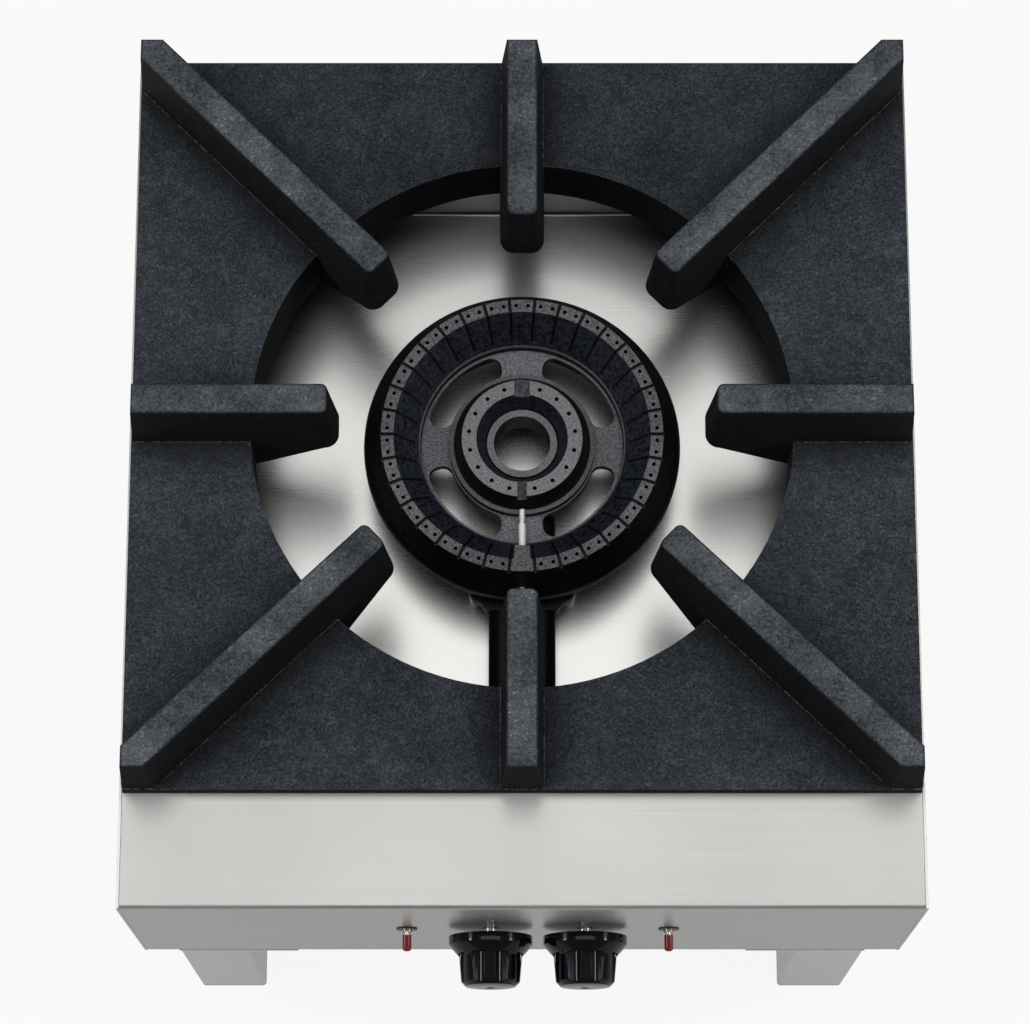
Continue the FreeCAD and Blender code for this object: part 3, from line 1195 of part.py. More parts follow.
nozzles = (("inner", "0", inner_end, pilot_z), ("outer", "pilot_spread", outer_end, low_z))
for name, x, y, z in nozzles:
    nozzle = new_part(f"pilot_nozzle_{name}")
    tip = "(nozzle_nut_length + nozzle_length)"
    spin(nozzle, [
        ("0", "0"),
        ("nozzle_nut", "0"),
        ("nozzle_nut", "-nozzle_nut_length"),
        ("nozzle_radius", "-nozzle_nut_length"),
        ("nozzle_radius", f"-{tip}"),
        ("0", f"-{tip}"),
    ])
    soften(nozzle, "nozzle_radius / 2", lambda edge: level(edge, f"-{tip}"))
    place(nozzle, x=x, y=f"{PANEL_Y} + {y}", z=z, **OUT)

# Posts and fasteners. Equal pieces share one file.


def rod(name, radius, length, x, y, z):
    item = doc.addObject("Part::Cylinder", name)
    bind(item, Radius=radius, Height=length)
    place(item, x, f"{PANEL_Y} + {y}", z)
    return item


def hex_block(name, radius, length, x, y, z):
    item = doc.addObject("Part::Prism", name)
    item.Polygon = 6
    bind(item, Circumradius=radius, Height=length)
    place(item, x, f"{PANEL_Y} + {y}", z)
    return item


def joined(name, items):
    whole = doc.addObject("Part::MultiFuse", name)
    whole.Shapes = items
    return whole


def group(label, items):
    whole = doc.addObject("Part::Compound", label)
    whole.Label = label
    whole.Links = items
    made.append(whole)


posts = []
post_bolts = []
post_bottom = f"({PAN_FLOOR_Z} + pan_gauge)"
post_height = f"({SEAT_Z} - {RING_FLOOR} - {post_bottom})"
bolt_head = "(2 * post_bolt_radius)"
for x, y in post_places:
    spot = (x, f"({AXIS_Y} + {y})")
    post = doc.addObject("Part::Cut", "burner_post")
    post.Base = rod("post_rod", "post_radius", post_height, *spot, post_bottom)
    post.Tool = rod("post_thread", "post_bolt_radius + run_gap", "post_bolt_length + bolt_gap",
                    *spot, post_bottom)
    posts.append(post)
    post_bolts.append(joined("burner_bolt", [
        hex_block("burner_bolt_head", bolt_head, "post_bolt_radius",
                  *spot, f"{PAN_FLOOR_Z} - post_bolt_radius"),
        rod("burner_bolt_shank", "post_bolt_radius", "post_bolt_length + pan_gauge", *spot, PAN_FLOOR_Z),
    ]))
group("burner_posts", posts)
group("burner_bolts", post_bolts)

leg_bolts = []
leg_head = "(2 * leg_bolt_radius)"
ear_low = "(leg_height - ear_gauge)"
for sign in HANDS.values():
    for y in [*bolt_ys, *(f"(body_depth - {y})" for y in bolt_ys)]:
        spot = (f"{sign} * {ear_x}", y)
        leg_bolts.append(joined("leg_bolt", [
            hex_block("leg_bolt_head", leg_head, "leg_bolt_radius", *spot, f"{ear_low} - leg_bolt_radius"),
            rod("leg_bolt_shank", "leg_bolt_radius", "ear_gauge + sheet_gauge + 3 * leg_bolt_radius",
                *spot, ear_low),
            hex_block("leg_bolt_nut", leg_head, "1.5 * leg_bolt_radius", *spot, FOOT_Z),
        ]))
group("leg_bolts", leg_bolts)


def small_screw(name, x, y, top, grip):
    """Round-head screw from above with its nut below the clamped sheets."""
    return joined(name, [
        rod(f"{name}_head", "screw_head", "screw_radius", x, y, top),
        rod(f"{name}_shank", "screw_radius", f"{grip} + 3 * screw_radius",
            x, y, f"{top} - {grip} - 3 * screw_radius"),
        hex_block(f"{name}_nut", "screw_head", "1.5 * screw_radius",
                  x, y, f"{top} - {grip} - 1.5 * screw_radius"),
    ])


group("bracket_screws", [
    small_screw("bracket_screw", x, "manifold_y", f"({FOOT_Z} + bracket_gauge)",
                "(bracket_gauge + sheet_gauge)")
    for x in bracket_screw_x.values()
])
group("plate_screws", [
    small_screw("plate_screw", x, y, PAN_Z, "(pan_gauge + injector_plate_gauge)")
    for x, y, hole in tab_holes
])

doc.recompute()
faults = [item.Label for item in doc.Objects if "Invalid" in item.State or "Error" in item.State]
if faults:
    raise RuntimeError(f"not built: {faults}")
for item in made:
    shape = item.Shape
    if shape.isNull() or not shape.isValid() or not shape.Solids:
        raise RuntimeError(f"bad shape: {item.Label}")
    shape.exportStep(f"parts/{item.Label}.step")
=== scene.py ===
import json
import math

import bpy
from bpy.props import FloatProperty, FloatVectorProperty, IntProperty, PointerProperty
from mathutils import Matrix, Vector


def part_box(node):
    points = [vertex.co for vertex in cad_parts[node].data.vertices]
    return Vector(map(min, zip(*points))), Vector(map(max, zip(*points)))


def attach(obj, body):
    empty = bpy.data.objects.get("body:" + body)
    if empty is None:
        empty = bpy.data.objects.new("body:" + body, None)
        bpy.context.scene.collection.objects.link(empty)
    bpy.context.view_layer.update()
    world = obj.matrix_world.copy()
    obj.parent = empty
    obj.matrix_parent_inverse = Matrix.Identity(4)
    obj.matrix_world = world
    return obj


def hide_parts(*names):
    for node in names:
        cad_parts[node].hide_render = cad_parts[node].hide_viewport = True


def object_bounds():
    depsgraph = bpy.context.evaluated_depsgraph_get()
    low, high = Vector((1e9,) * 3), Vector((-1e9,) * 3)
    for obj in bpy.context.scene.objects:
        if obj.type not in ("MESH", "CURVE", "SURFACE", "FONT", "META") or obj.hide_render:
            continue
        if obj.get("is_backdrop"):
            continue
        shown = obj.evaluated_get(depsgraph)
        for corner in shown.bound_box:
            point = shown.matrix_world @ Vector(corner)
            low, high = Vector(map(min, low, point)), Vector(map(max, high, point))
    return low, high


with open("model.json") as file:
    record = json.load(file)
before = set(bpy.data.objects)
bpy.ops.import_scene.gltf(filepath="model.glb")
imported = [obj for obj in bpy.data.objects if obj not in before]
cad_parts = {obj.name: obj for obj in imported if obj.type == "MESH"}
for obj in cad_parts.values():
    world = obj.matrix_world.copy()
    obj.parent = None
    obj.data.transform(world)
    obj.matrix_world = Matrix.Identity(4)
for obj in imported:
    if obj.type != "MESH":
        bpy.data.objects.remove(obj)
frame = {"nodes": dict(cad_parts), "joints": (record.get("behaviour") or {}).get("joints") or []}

bl_info = {
    "name": "Paella burner",
    "version": (1, 0, 0),
    "blender": (4, 5, 0),
    "location": "View3D > Sidebar > Paella burner",
    "description": "Finishes the packed paella burner and sets up its studio",
    "category": "Object",
}

CAD_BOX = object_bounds()
NODES = frame["nodes"]
JOINTS = {joint["name"]: joint for joint in frame["joints"]}
SIDES = ("left", "right")
MM = 0.001

KNOB_LOW, KNOB_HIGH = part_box("knob_left")
CAP_LOW, CAP_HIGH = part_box("outer_ring_cap")
CAP_RADIUS = (CAP_HIGH.x - CAP_LOW.x) / 2
INNER_CAP_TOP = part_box("inner_ring_cap")[1].z
GRATE_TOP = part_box("grate")[1].z
BURNER_AXIS = ((CAP_LOW.x + CAP_HIGH.x) / 2, (CAP_LOW.y + CAP_HIGH.y) / 2, 0.0)

# Facets of the turned pieces and their bores, and the rounding of their edges.
KNOB_SIDES = 144
FLUTE_SIDES = 64
STEM_SIDES = 48
SLEEVE_SIDES = 48
LEVER_SIDES = 32
DOME_STEPS = 6
ROUNDING_STEPS = 3
ROUNDING_ANGLE = math.radians(28)
SMOOTH_ANGLE = math.radians(40)

# Ring half way out on a knob's domed end: shares of the crown's rise and of the grip's radius.
CROWN_RISE = 0.7
CROWN_REACH = 0.5

# Studio, in metres, with the camera's sensor in millimetres. A fade gives the two ends between
# which the floor turns white with distance, and the sky pale with height.
FLOOR_SIZE = 12.0
FLOOR_LEVEL = -0.5 * MM
FLOOR_FADE = (0.45, 1.6)
SKY_AXIS = (0.0, 0.25, 0.97)
SKY_FADE = (0.5, 0.97)
SOFTBOX_SIZE = (2.6, 1.5)
SOFTBOX_PLACE = (0.0, 0.3, 2.9)
STRIP_SIZE = (0.2, 1.0)
STRIP_PLACE = (1.4, -0.3, 1.15)
STRIP_TURN = math.radians(57)
SENSOR_WIDTH = 36.0

NODE_SAMPLES = 6
BARE_STEEL = (0.35, 0.35, 0.34)

# How far the painted shade in corners reaches, and how deep below a top its rubbed or turned finish
# goes.
PAINTED_SHADE_REACH = 34 * MM
RUBBED_DEPTH = 3 * MM
TURNED_DEPTH = 0.3 * MM


def length(name, description, default):
    return FloatProperty(name=name, description=description, default=default, unit="LENGTH",
                         precision=5)


def amount(name, description, default, unit="NONE"):
    return FloatProperty(name=name, description=description, default=default, unit=unit)


def slant(name, description, degrees):
    return FloatProperty(name=name, description=description, default=math.radians(degrees),
                         subtype="ANGLE")


def colour(name, description, default):
    return FloatVectorProperty(name=name, description=description, default=default,
                               subtype="COLOR", size=3, min=0, max=1)


class KnobSizes(bpy.types.PropertyGroup):
    skirt_radius: length("Skirt", "Radius of the knob's skirt", (KNOB_HIGH.x - KNOB_LOW.x) / 2)
    knob_length: length("Length", "Back of the knob to its domed end", KNOB_HIGH.y - KNOB_LOW.y)
    skirt_edge: length("Skirt edge", "Upright edge of the skirt", 5.0 * MM)
    grip_foot: length("Grip foot", "Back of the knob to the foot of the grip", 11.5 * MM)
    grip_radius: length("Grip", "Radius of the grip at its foot", 18.0 * MM)
    grip_end: length("Grip end", "Radius of the grip at its end", 16.8 * MM)
    end_chamfer: length("End chamfer", "Chamfer round the end of the grip", 2.6 * MM)
    crown: length("Crown", "Rise of the domed end", 0.7 * MM)
    eye_radius: length("Eye", "Radius of the hole in the end", 2.4 * MM)
    eye_depth: length("Eye depth", "Depth of the hole in the end", 6.0 * MM)
    stem_radius: length("Stem bore", "Radius of the bore for the stem", 3.55 * MM)
    stem_depth: length("Stem depth", "Depth of the bore for the stem", 15.3 * MM)
    flute_radius: length("Flute", "Radius of a flute", 6.0 * MM)
    flute_centre: length("Flute centre", "Knob axis to the centre of a flute", 21.6 * MM)
    flute_start: length("Flute start", "Back of the knob to the start of a flute", 10.3 * MM)
    flute_count: IntProperty(name="Flutes", description="Number of flutes", default=8, min=3)
    edge_round: length("Edge round", "Radius of the moulded edges", 1.2 * MM)


class SleeveSizes(bpy.types.PropertyGroup):
    radius: length("Sleeve", "Radius of a lever sleeve", 2.6 * MM)
    bore: length("Bore", "Radius of the bore for the lever", 1.35 * MM)
    start: length("Start", "Lever pivot to the open end", 4.5 * MM)
    end: length("End", "Lever pivot to the domed end", 14.0 * MM)
    dome: length("Dome", "Radius of the domed end", 1.8 * MM)
    tilt: slant("Tilt", "Lever below level at rest", 13)


class RingSizes(bpy.types.PropertyGroup):
    slope_radius: length("Slope foot", "Inner edge of the outer ring", 59.5 * MM)
    slope_rise: length("Slope rise", "Foot of the slope up to the pads", 21.5 * MM)
    pad_inner: length("Pads inside", "Inner edge of the port pads", 74.5 * MM)
    seat_radius: length("Inner seat", "Outside of the turned seat of the inner ring", 42.4 * MM)
    seat_inside: length("Inner seat inside", "Widest radius of the inner ring cap", 39.8 * MM)
    hub_radius: length("Hub", "Outside of the centre tube", 20.5 * MM)
    throat: length("Throat", "Inside of the inner ring's top", 26.6 * MM)


class Colours(bpy.types.PropertyGroup):
    stainless: colour("Stainless", "Brushed casing sheet", (0.58, 0.575, 0.56))
    pan: colour("Spill pan", "Brushed sheet of the pan", (0.62, 0.612, 0.595))
    grate: colour("Grate", "Seasoned casting", (0.058, 0.070, 0.088))
    # Wear on edges and tops, also brightened into the painted glints on the finger tops and feet.
    grate_wear_and_glint: colour("Grate wear", "Rubbed edges and tops", (0.160, 0.178, 0.200))
    burner: colour("Burner", "Black casting", (0.0016, 0.0018, 0.0034))
    burner_slope: colour("Burner slope", "Dull black slope of the rings", (0.010, 0.0115, 0.019))
    burner_rough: colour("Burner spider", "Bare grey casting", (0.19, 0.20, 0.215))
    machined: colour("Machined faces", "Turned faces of the burner", (0.225, 0.232, 0.24))
    knob: colour("Knob", "Black moulding", (0.0026, 0.0027, 0.0055))
    red: colour("Lever sleeve", "Red moulding", (0.27, 0.008, 0.014))
    brass: colour("Brass", "Valves and injectors", (0.62, 0.43, 0.16))
    pale_brass: colour("Pale brass", "Bushings of the levers", (0.70, 0.62, 0.46))
    bright: colour("Bright steel", "Stems, levers and posts", (0.72, 0.72, 0.71))
    tube: colour("Pilot lines", "Satin tubes of the pilots", (0.86, 0.85, 0.82))
    zinc: colour("Zinc", "Plated fasteners", (0.50, 0.50, 0.49))
    pipe: colour("Pipe", "Painted gas pipe", (0.16, 0.165, 0.17))
    aluminium: colour("Aluminium", "Feed tubes", (0.66, 0.67, 0.68))
    black: colour("Black", "Blackened washers and foot plugs", (0.02, 0.02, 0.022))
    floor: colour("Floor", "Studio floor as it lights the burner", (0.42, 0.42, 0.42))
    floor_seen: colour("Floor seen", "Studio floor as the camera sees it", (0.95, 0.95, 0.95))


class Studio(bpy.types.PropertyGroup):
    lens: amount("Lens", "Focal length on a 36 mm sensor", 123.53, unit="CAMERA")
    camera: FloatVectorProperty(name="Camera", description="Camera place",
                                default=(-0.0019, -0.5441, 2.2648), size=3, subtype="TRANSLATION")
    tilt: slant("Tilt", "Camera off straight down", 15.14)
    shift: amount("Shift", "Sideways shift of the frame", -0.0037)
    zenith: amount("Zenith", "Strength of the light from above", 0.34)
    horizon: amount("Horizon", "Strength of the light from the sides", 0.04)
    softbox: amount("Softbox", "Power of the overhead light", 18.5, unit="POWER")
    strip: amount("Strip lights", "Power of each narrow side light", 8.0, unit="POWER")
    floor_glow: amount("Floor glow", "Share of plain white in the floor nearby", 0.9)
    floor_mirror: amount("Floor in metal", "Share of plain white in the mirrored floor", 0.44)
    sky_mirror: amount("Sky in metal", "Least strength of the mirrored sky", 0.22)


class Nodes:
    """Node tree, with short words for the nodes that the finishes and the sky share."""

    def __init__(self, tree):
        self.tree = tree

    def node(self, kind, **settings):
        node = self.tree.nodes.new(kind)
        for name, value in settings.items():
            setattr(node, name, value)
        return node

    def feed(self, socket, value):
        """Link an output into a socket, or set a plain value on it."""
        if isinstance(value, bpy.types.NodeSocket):
            self.tree.links.new(value, socket)
        elif hasattr(value, "__len__"):
            values = tuple(value)
            if len(values) == 3 and len(socket.default_value) == 4:
                values = (*values, 1.0)
            socket.default_value = values
        else:
            socket.default_value = value

    def fill(self, node, **sockets):
        """Feed sockets by name, with _ for a space, and give the node's outputs."""
        for name, value in sockets.items():
            self.feed(node.inputs[name.replace("_", " ")], value)
        return node.outputs

    def scale(self, value, low, high, new_low=0.0, new_high=1.0):
        """Map a range of values on another, held at its ends."""
        node = self.node("ShaderNodeMapRange", interpolation_type="SMOOTHSTEP")
        return self.fill(node, Value=value, From_Min=low, From_Max=high, To_Min=new_low,
                         To_Max=new_high)["Result"]

    def rise(self, value, low, high, most=1.0):
        return self.scale(value, low, high, 0.0, most)

    def fall(self, value, low, high, most=1.0):
        return self.scale(value, low, high, most, 0.0)

    def math(self, operation, first, second):
        node = self.node("ShaderNodeMath", operation=operation)
        self.feed(node.inputs[0], first)
        self.feed(node.inputs[1], second)
        return node.outputs["Value"]

    def times(self, first, second):
        return self.math("MULTIPLY", first, second)

    def plus(self, first, second):
        return self.math("ADD", first, second)

    def minus(self, first, second):
        return self.math("SUBTRACT", first, second)

    def larger(self, first, second):
        return self.math("MAXIMUM", first, second)

    def vector(self, operation, *vectors):
        node = self.node("ShaderNodeVectorMath", operation=operation)
        for socket, value in zip(node.inputs, vectors):
            self.feed(socket, value)
        return node.outputs

    def rays(self):
        """One on rays from the camera, and one on rays that metal or glass sends on."""
        path = self.node("ShaderNodeLightPath").outputs
        return path["Is Camera Ray"], self.larger(path["Is Glossy Ray"], path["Is Transmission Ray"])


class Paint(Nodes):
    """Node tree of one finish."""

    def __init__(self, name):
        self.material = bpy.data.materials.new(name)
        self.material.use_nodes = True
        super().__init__(self.material.node_tree)
        self.shader = self.tree.nodes["Principled BSDF"]
        self.place = self.node("ShaderNodeTexCoord").outputs["Object"]
        self.normal = None

    def set(self, **sockets):
        self.fill(self.shader, **sockets)

    def noise(self, scale, stretch=(1, 1, 1), detail=4.0, rough=0.55, swirl=0.0):
        place = self.fill(self.node("ShaderNodeMapping"), Vector=self.place, Scale=stretch)["Vector"]
        return self.fill(self.node("ShaderNodeTexNoise"), Vector=place, Scale=scale, Detail=detail,
                         Roughness=rough, Distortion=swirl)["Fac"]

    def spots(self, scale):
        """Distance to the nearest of many scattered points."""
        cells = self.node("ShaderNodeTexVoronoi")
        return self.fill(cells, Vector=self.place, Scale=scale)["Distance"]

    def mix(self, factor, first, second):
        node = self.node("ShaderNodeMix", data_type="RGBA")
        self.feed(node.inputs["Factor"], factor)
        colours = [socket for socket in node.inputs if socket.type == "RGBA"]
        self.feed(colours[0], first)
        self.feed(colours[1], second)
        return next(socket for socket in node.outputs if socket.type == "RGBA")

    def height(self):
        """Height above the floor at rest."""
        return self.fill(self.node("ShaderNodeSeparateXYZ"), Vector=self.place)["Z"]

    def reach(self, axis):
        """Distance from an upright axis."""
        offset = self.vector("SUBTRACT", self.place, axis)["Vector"]
        flat = self.vector("MULTIPLY", offset, (1.0, 1.0, 0.0))["Vector"]
        return self.vector("LENGTH", flat)["Value"]

    def between(self, value, low, high, blur=0.15 * MM):
        """One where a value lies in a range."""
        above = self.rise(value, low - blur, low + blur)
        return self.times(above, self.fall(value, high - blur, high + blur))

    def facing(self):
        return self.node("ShaderNodeNewGeometry").outputs["Normal"]

    def upward(self, low=0.93, high=0.985):
        """One on faces that look up, nought on steep ones."""
        split = self.fill(self.node("ShaderNodeSeparateXYZ"), Vector=self.facing())
        return self.rise(split["Z"], low, high)

    def shelter(self, distance):
        """One on open faces, less in the corners of the same piece."""
        node = self.node("ShaderNodeAmbientOcclusion", samples=NODE_SAMPLES, only_local=True)
        return self.fill(node, Distance=distance)["AO"]

    def brushing(self, axis, pull):
        """Pull reflections out square to lines brushed along an axis."""
        tangent = self.node("ShaderNodeTangent", direction_type="RADIAL", axis=axis)
        self.set(Tangent=tangent.outputs["Tangent"], Anisotropic=pull)

    def edges(self, radius, low=0.01, high=0.2):
        """One along sharp edges; the shading of those edges is rounded as well."""
        bevel = self.node("ShaderNodeBevel", samples=NODE_SAMPLES)
        self.normal = self.fill(bevel, Radius=radius)["Normal"]
        likeness = self.vector("DOT_PRODUCT", self.normal, self.facing())["Value"]
        return self.rise(self.minus(1.0, likeness), low, high)

    def bump(self, height, strength, distance):
        node = self.node("ShaderNodeBump")
        self.fill(node, Height=height, Strength=strength, Distance=distance)
        if self.normal:
            self.fill(node, Normal=self.normal)
        self.normal = node.outputs["Normal"]

    def done(self):
        if self.normal:
            self.set(Normal=self.normal)
        return self.material


def shade(base, factor):
    return tuple(min(1.0, part * factor) for part in base)


def brushed_sheet(name, base, axis, lines=(5, 1500), rough=0.36, pull=0.75, relief=0.1,
                  streaks=0.1, painted_wall_shade=1.0):
    """Stainless sheet with fine lines along one axis and faint cloudiness; steep faces can get painted
    shade.
    """
    paint = Paint(name)
    along, across = lines
    stretch = tuple(along if letter == axis else across for letter in "XYZ")
    brushed = paint.noise(1.0, stretch, detail=3.0, rough=0.7)
    uneven = paint.plus(brushed, paint.noise(9.0, detail=2.0))
    dark, pale = shade(base, 1 - 0.6 * streaks), shade(base, 1 + 0.5 * streaks)
    sheet = paint.mix(paint.rise(uneven, 0.65, 1.35), dark, pale)
    # Painted shade: steep faces darkened, as on the pan's walls below the grate.
    if painted_wall_shade < 1.0:
        sheet = paint.mix(paint.upward(0.3, 0.8), shade(base, painted_wall_shade), sheet)
    sleek, dull = (1 - 1.2 * streaks) * rough, (1 + 1.4 * streaks) * rough
    paint.set(Base_Color=sheet, Metallic=1.0, Roughness=paint.scale(uneven, 0.6, 1.4, sleek, dull))
    paint.brushing(axis, pull)
    paint.edges(0.5 * MM)
    paint.bump(brushed, relief, 0.05 * MM)
    return paint.done()


def casting(name, base, worn, top):
    """Sand-cast iron: fine swirled grain, painted shade on sides and corners, painted glints, rubbed
    edges, paler tops.
    """
    paint = Paint(name)
    blotch = paint.noise(30.0, detail=6.0, rough=0.6)
    flow = paint.noise(75.0, detail=5.0, rough=0.62, swirl=1.4)
    wave = paint.noise(120.0, detail=3.0)
    grain = paint.noise(640.0, detail=3.0, rough=0.7, swirl=0.8)
    sand = paint.noise(1500.0, detail=2.0)
    pits = paint.fall(paint.spots(55.0), 0.0, 0.05)
    wrinkle = paint.between(paint.noise(230.0, detail=0.0, swirl=2.2), 0.46, 0.54, 0.04)
    # Occlusion of the piece itself, used below for painted shade in the corners.
    open_face = paint.shelter(PAINTED_SHADE_REACH)
    level = paint.upward(0.25, 0.9)
    sharp = paint.edges(1.2 * MM, 0.02, 0.25)
    near_top = paint.rise(paint.height(), top - RUBBED_DEPTH, top - RUBBED_DEPTH / 3)
    rubbed = paint.times(paint.upward(), near_top)
    patches = paint.scale(paint.plus(blotch, grain), 0.8, 1.15, 0.05, 0.9)
    # Painted glints: bright specks of highlight on the rubbed tops.
    glints = paint.times(paint.rise(grain, 0.56, 0.66), paint.rise(blotch, 0.48, 0.62))
    specks = paint.rise(paint.plus(grain, paint.times(flow, 0.3)), 0.66, 0.88)
    # Painted shade for the steep sides, with paler grain specks in it.
    painted_side_shade = paint.mix(specks, shade(base, 0.02), shade(base, 0.5))
    wear = paint.times(sharp, paint.rise(grain, 0.38, 0.6, 0.6))
    # Painted highlight: a bright line along the concave edges at the finger feet.
    foot = paint.times(sharp, paint.fall(open_face, 0.55, 0.75))
    layers = (
        (paint.fall(flow, 0.3, 0.5, 0.6), shade(base, 0.35)),
        (paint.rise(flow, 0.5, 0.7, 0.45), shade(worn, 0.8)),
        (paint.fall(grain, 0.38, 0.53, 0.6), shade(base, 0.3)),
        (paint.rise(grain, 0.52, 0.66, 0.55), shade(worn, 0.85)),
        (paint.times(wrinkle, 0.75), shade(base, 0.25)),
        (paint.times(rubbed, patches), shade(worn, 0.9)),
        # Painted glints on the rubbed tops.
        (paint.times(rubbed, glints), shade(worn, 2.2)),
        (pits, shade(base, 0.1)),
        # Painted shade: darker in the corners and beside the finger feet, where shade falls.
        (paint.fall(open_face, 0.5, 0.93), shade(base, 0.12)),
        # Painted shade: steep faces darker than the tops, as the light falls from above.
        (paint.minus(1.0, level), painted_side_shade),
        (paint.times(wear, paint.rise(open_face, 0.8, 0.95)), worn),
        # Painted highlight along the finger feet.
        (paint.times(foot, paint.rise(grain, 0.46, 0.56)), shade(worn, 3.0)),
    )
    tone = paint.mix(paint.rise(blotch, 0.34, 0.68), shade(base, 0.78), shade(base, 1.25))
    for mask, tint in layers:
        tone = paint.mix(mask, tone, tint)
    dull = paint.minus(paint.scale(grain, 0.3, 0.7, 0.76, 0.94), paint.times(level, 0.34))
    paint.set(Base_Color=tone, Roughness=dull, Specular_IOR_Level=0.26)
    hollows = paint.plus(pits, paint.times(wrinkle, 0.4))
    relief = paint.plus(paint.times(sand, 0.25), paint.minus(grain, hollows))
    paint.bump(paint.plus(relief, paint.plus(wave, flow)), 1.0, 0.9 * MM)
    return paint.done()


class BurnerIron:
    """Black burner casting with masks for its turned, bare and dull faces."""

    def __init__(self, name, colours):
        self.paint = Paint(name)
        self.sand = self.paint.noise(900.0, detail=3.0)
        self.coarse = self.paint.noise(420.0, detail=4.0, rough=0.68)
        self.radius = self.paint.reach(BURNER_AXIS)
        self.height = self.paint.height()
        self.up = self.paint.upward()
        self.turned = colours.machined
        self.tone = self.grained(colours.burner, 0.5, 1.8, self.coarse)

    def grained(self, base, low, high, grain):
        dark, pale = shade(base, low), shade(base, high)
        return self.paint.mix(self.paint.rise(grain, 0.34, 0.66), dark, pale)

    def face(self, mask, base, low=0.68, high=1.3, grain=None):
        """Lay a finish over what a mask shows."""
        finish = self.grained(base, low, high, grain or self.sand)
        self.tone = self.paint.mix(mask, self.tone, finish)

    def within(self, radius):
        return self.paint.between(self.radius, 0.0, radius)

    def at_top(self, top):
        return self.paint.rise(self.height, top - TURNED_DEPTH, top - TURNED_DEPTH / 3)

    def done(self):
        paint = self.paint
        wear = paint.scale(self.coarse, 0.3, 0.6, 0.1, 0.5)
        edge = paint.times(paint.edges(0.45 * MM, 0.03, 0.3), wear)
        tone = paint.mix(edge, self.tone, shade(self.turned, 0.8))
        dull = paint.scale(self.coarse, 0.3, 0.7, 0.42, 0.62)
        paint.set(Base_Color=tone, Roughness=dull, Specular_IOR_Level=0.25)
        paint.bump(paint.plus(self.sand, self.coarse), 0.55, 0.35 * MM)
        return paint.done()


def outer_cap_iron(colours, ring):
    """Turned pads, a dull slope cut by black grooves, a turned rim and a line at the slope's foot."""
    iron = BurnerIron("outer_cap_iron", colours)
    paint = iron.paint
    top = CAP_HIGH.z
    rate = ring.slope_rise / (ring.pad_inner - ring.slope_radius)
    below_pads = paint.minus(ring.pad_inner, iron.radius)
    slope_height = paint.minus(top, paint.times(below_pads, rate))
    depth = paint.minus(slope_height, iron.height)
    slope = paint.times(iron.within(ring.pad_inner), paint.fall(depth, 0.3 * MM, 0.5 * MM))
    iron.face(slope, colours.burner_slope, 0.1, 2.7, iron.coarse)
    rim = paint.rise(iron.radius, CAP_RADIUS - 1.0 * MM, CAP_RADIUS - 0.6 * MM)
    iron.face(rim, shade(colours.machined, 0.5), 0.4, 1.4)
    iron.face(iron.within(ring.slope_radius + 0.8 * MM), shade(colours.machined, 0.5))
    iron.face(iron.at_top(top), shade(colours.machined, 0.62), 0.5, 1.4)
    return iron.done()


def inner_cap_iron(colours, ring):
    """Turned top, dark rough throat and notches on a black ring."""
    iron = BurnerIron("inner_cap_iron", colours)
    paint = iron.paint
    top = INNER_CAP_TOP
    iron.face(iron.within(ring.throat), colours.burner_slope, 0.3, 2.0, iron.coarse)
    notch = paint.times(iron.up, paint.between(iron.height, top - 4 * MM, top - 2 * MM))
    iron.face(notch, shade(colours.burner_rough, 0.45), 0.3, 1.6, iron.coarse)
    iron.face(iron.at_top(top), colours.machined)
    return iron.done()


def burner_body_iron(colours, ring):
    """Bare grey spider, turned seat and centre tube on a black casting."""
    iron = BurnerIron("burner_iron", colours)
    paint = iron.paint
    spider = iron.within(ring.slope_radius - 0.5 * MM)
    iron.face(paint.times(iron.up, spider), colours.burner_rough, 0.55, 1.4)
    seat = paint.between(iron.radius, ring.seat_inside - 1.5 * MM, ring.seat_radius + 0.2 * MM)
    iron.face(paint.times(iron.up, seat), shade(colours.machined, 0.55))
    hub = iron.within(ring.hub_radius + 0.2 * MM)
    iron.face(paint.times(iron.up, hub), shade(colours.machined, 0.95))
    return iron.done()


def smooth_metal(name, base, rough):
    """Turned or plated metal with faint tool marks and handling."""
    paint = Paint(name)
    cloud = paint.noise(70.0, detail=3.0)
    marks = paint.noise(900.0, (1, 0.08, 1), detail=2.0)
    tone = paint.mix(paint.rise(cloud, 0.35, 0.7), shade(base, 0.85), shade(base, 1.08))
    handled = paint.scale(cloud, 0.3, 0.7, rough - 0.05, rough + 0.1)
    paint.set(Base_Color=tone, Metallic=1.0, Roughness=handled)
    paint.edges(0.25 * MM)
    paint.bump(marks, 0.08, 0.05 * MM)
    return paint.done()


def moulding(name, base, rough, ripple=0.04, lacquer=0.0, gloss=0.5):
    """Moulded plastic with a slight ripple and dull patches from handling."""
    paint = Paint(name)
    smear = paint.noise(60.0, detail=4.0)
    tone = paint.mix(paint.rise(smear, 0.4, 0.75), base, shade(base, 1.5))
    handled = paint.scale(smear, 0.35, 0.75, rough, rough + 0.12)
    paint.set(Base_Color=tone, Roughness=handled, Specular_IOR_Level=gloss)
    paint.set(Coat_Weight=lacquer, Coat_Roughness=0.06)
    paint.bump(paint.noise(240.0, detail=2.0), ripple, 0.2 * MM)
    return paint.done()


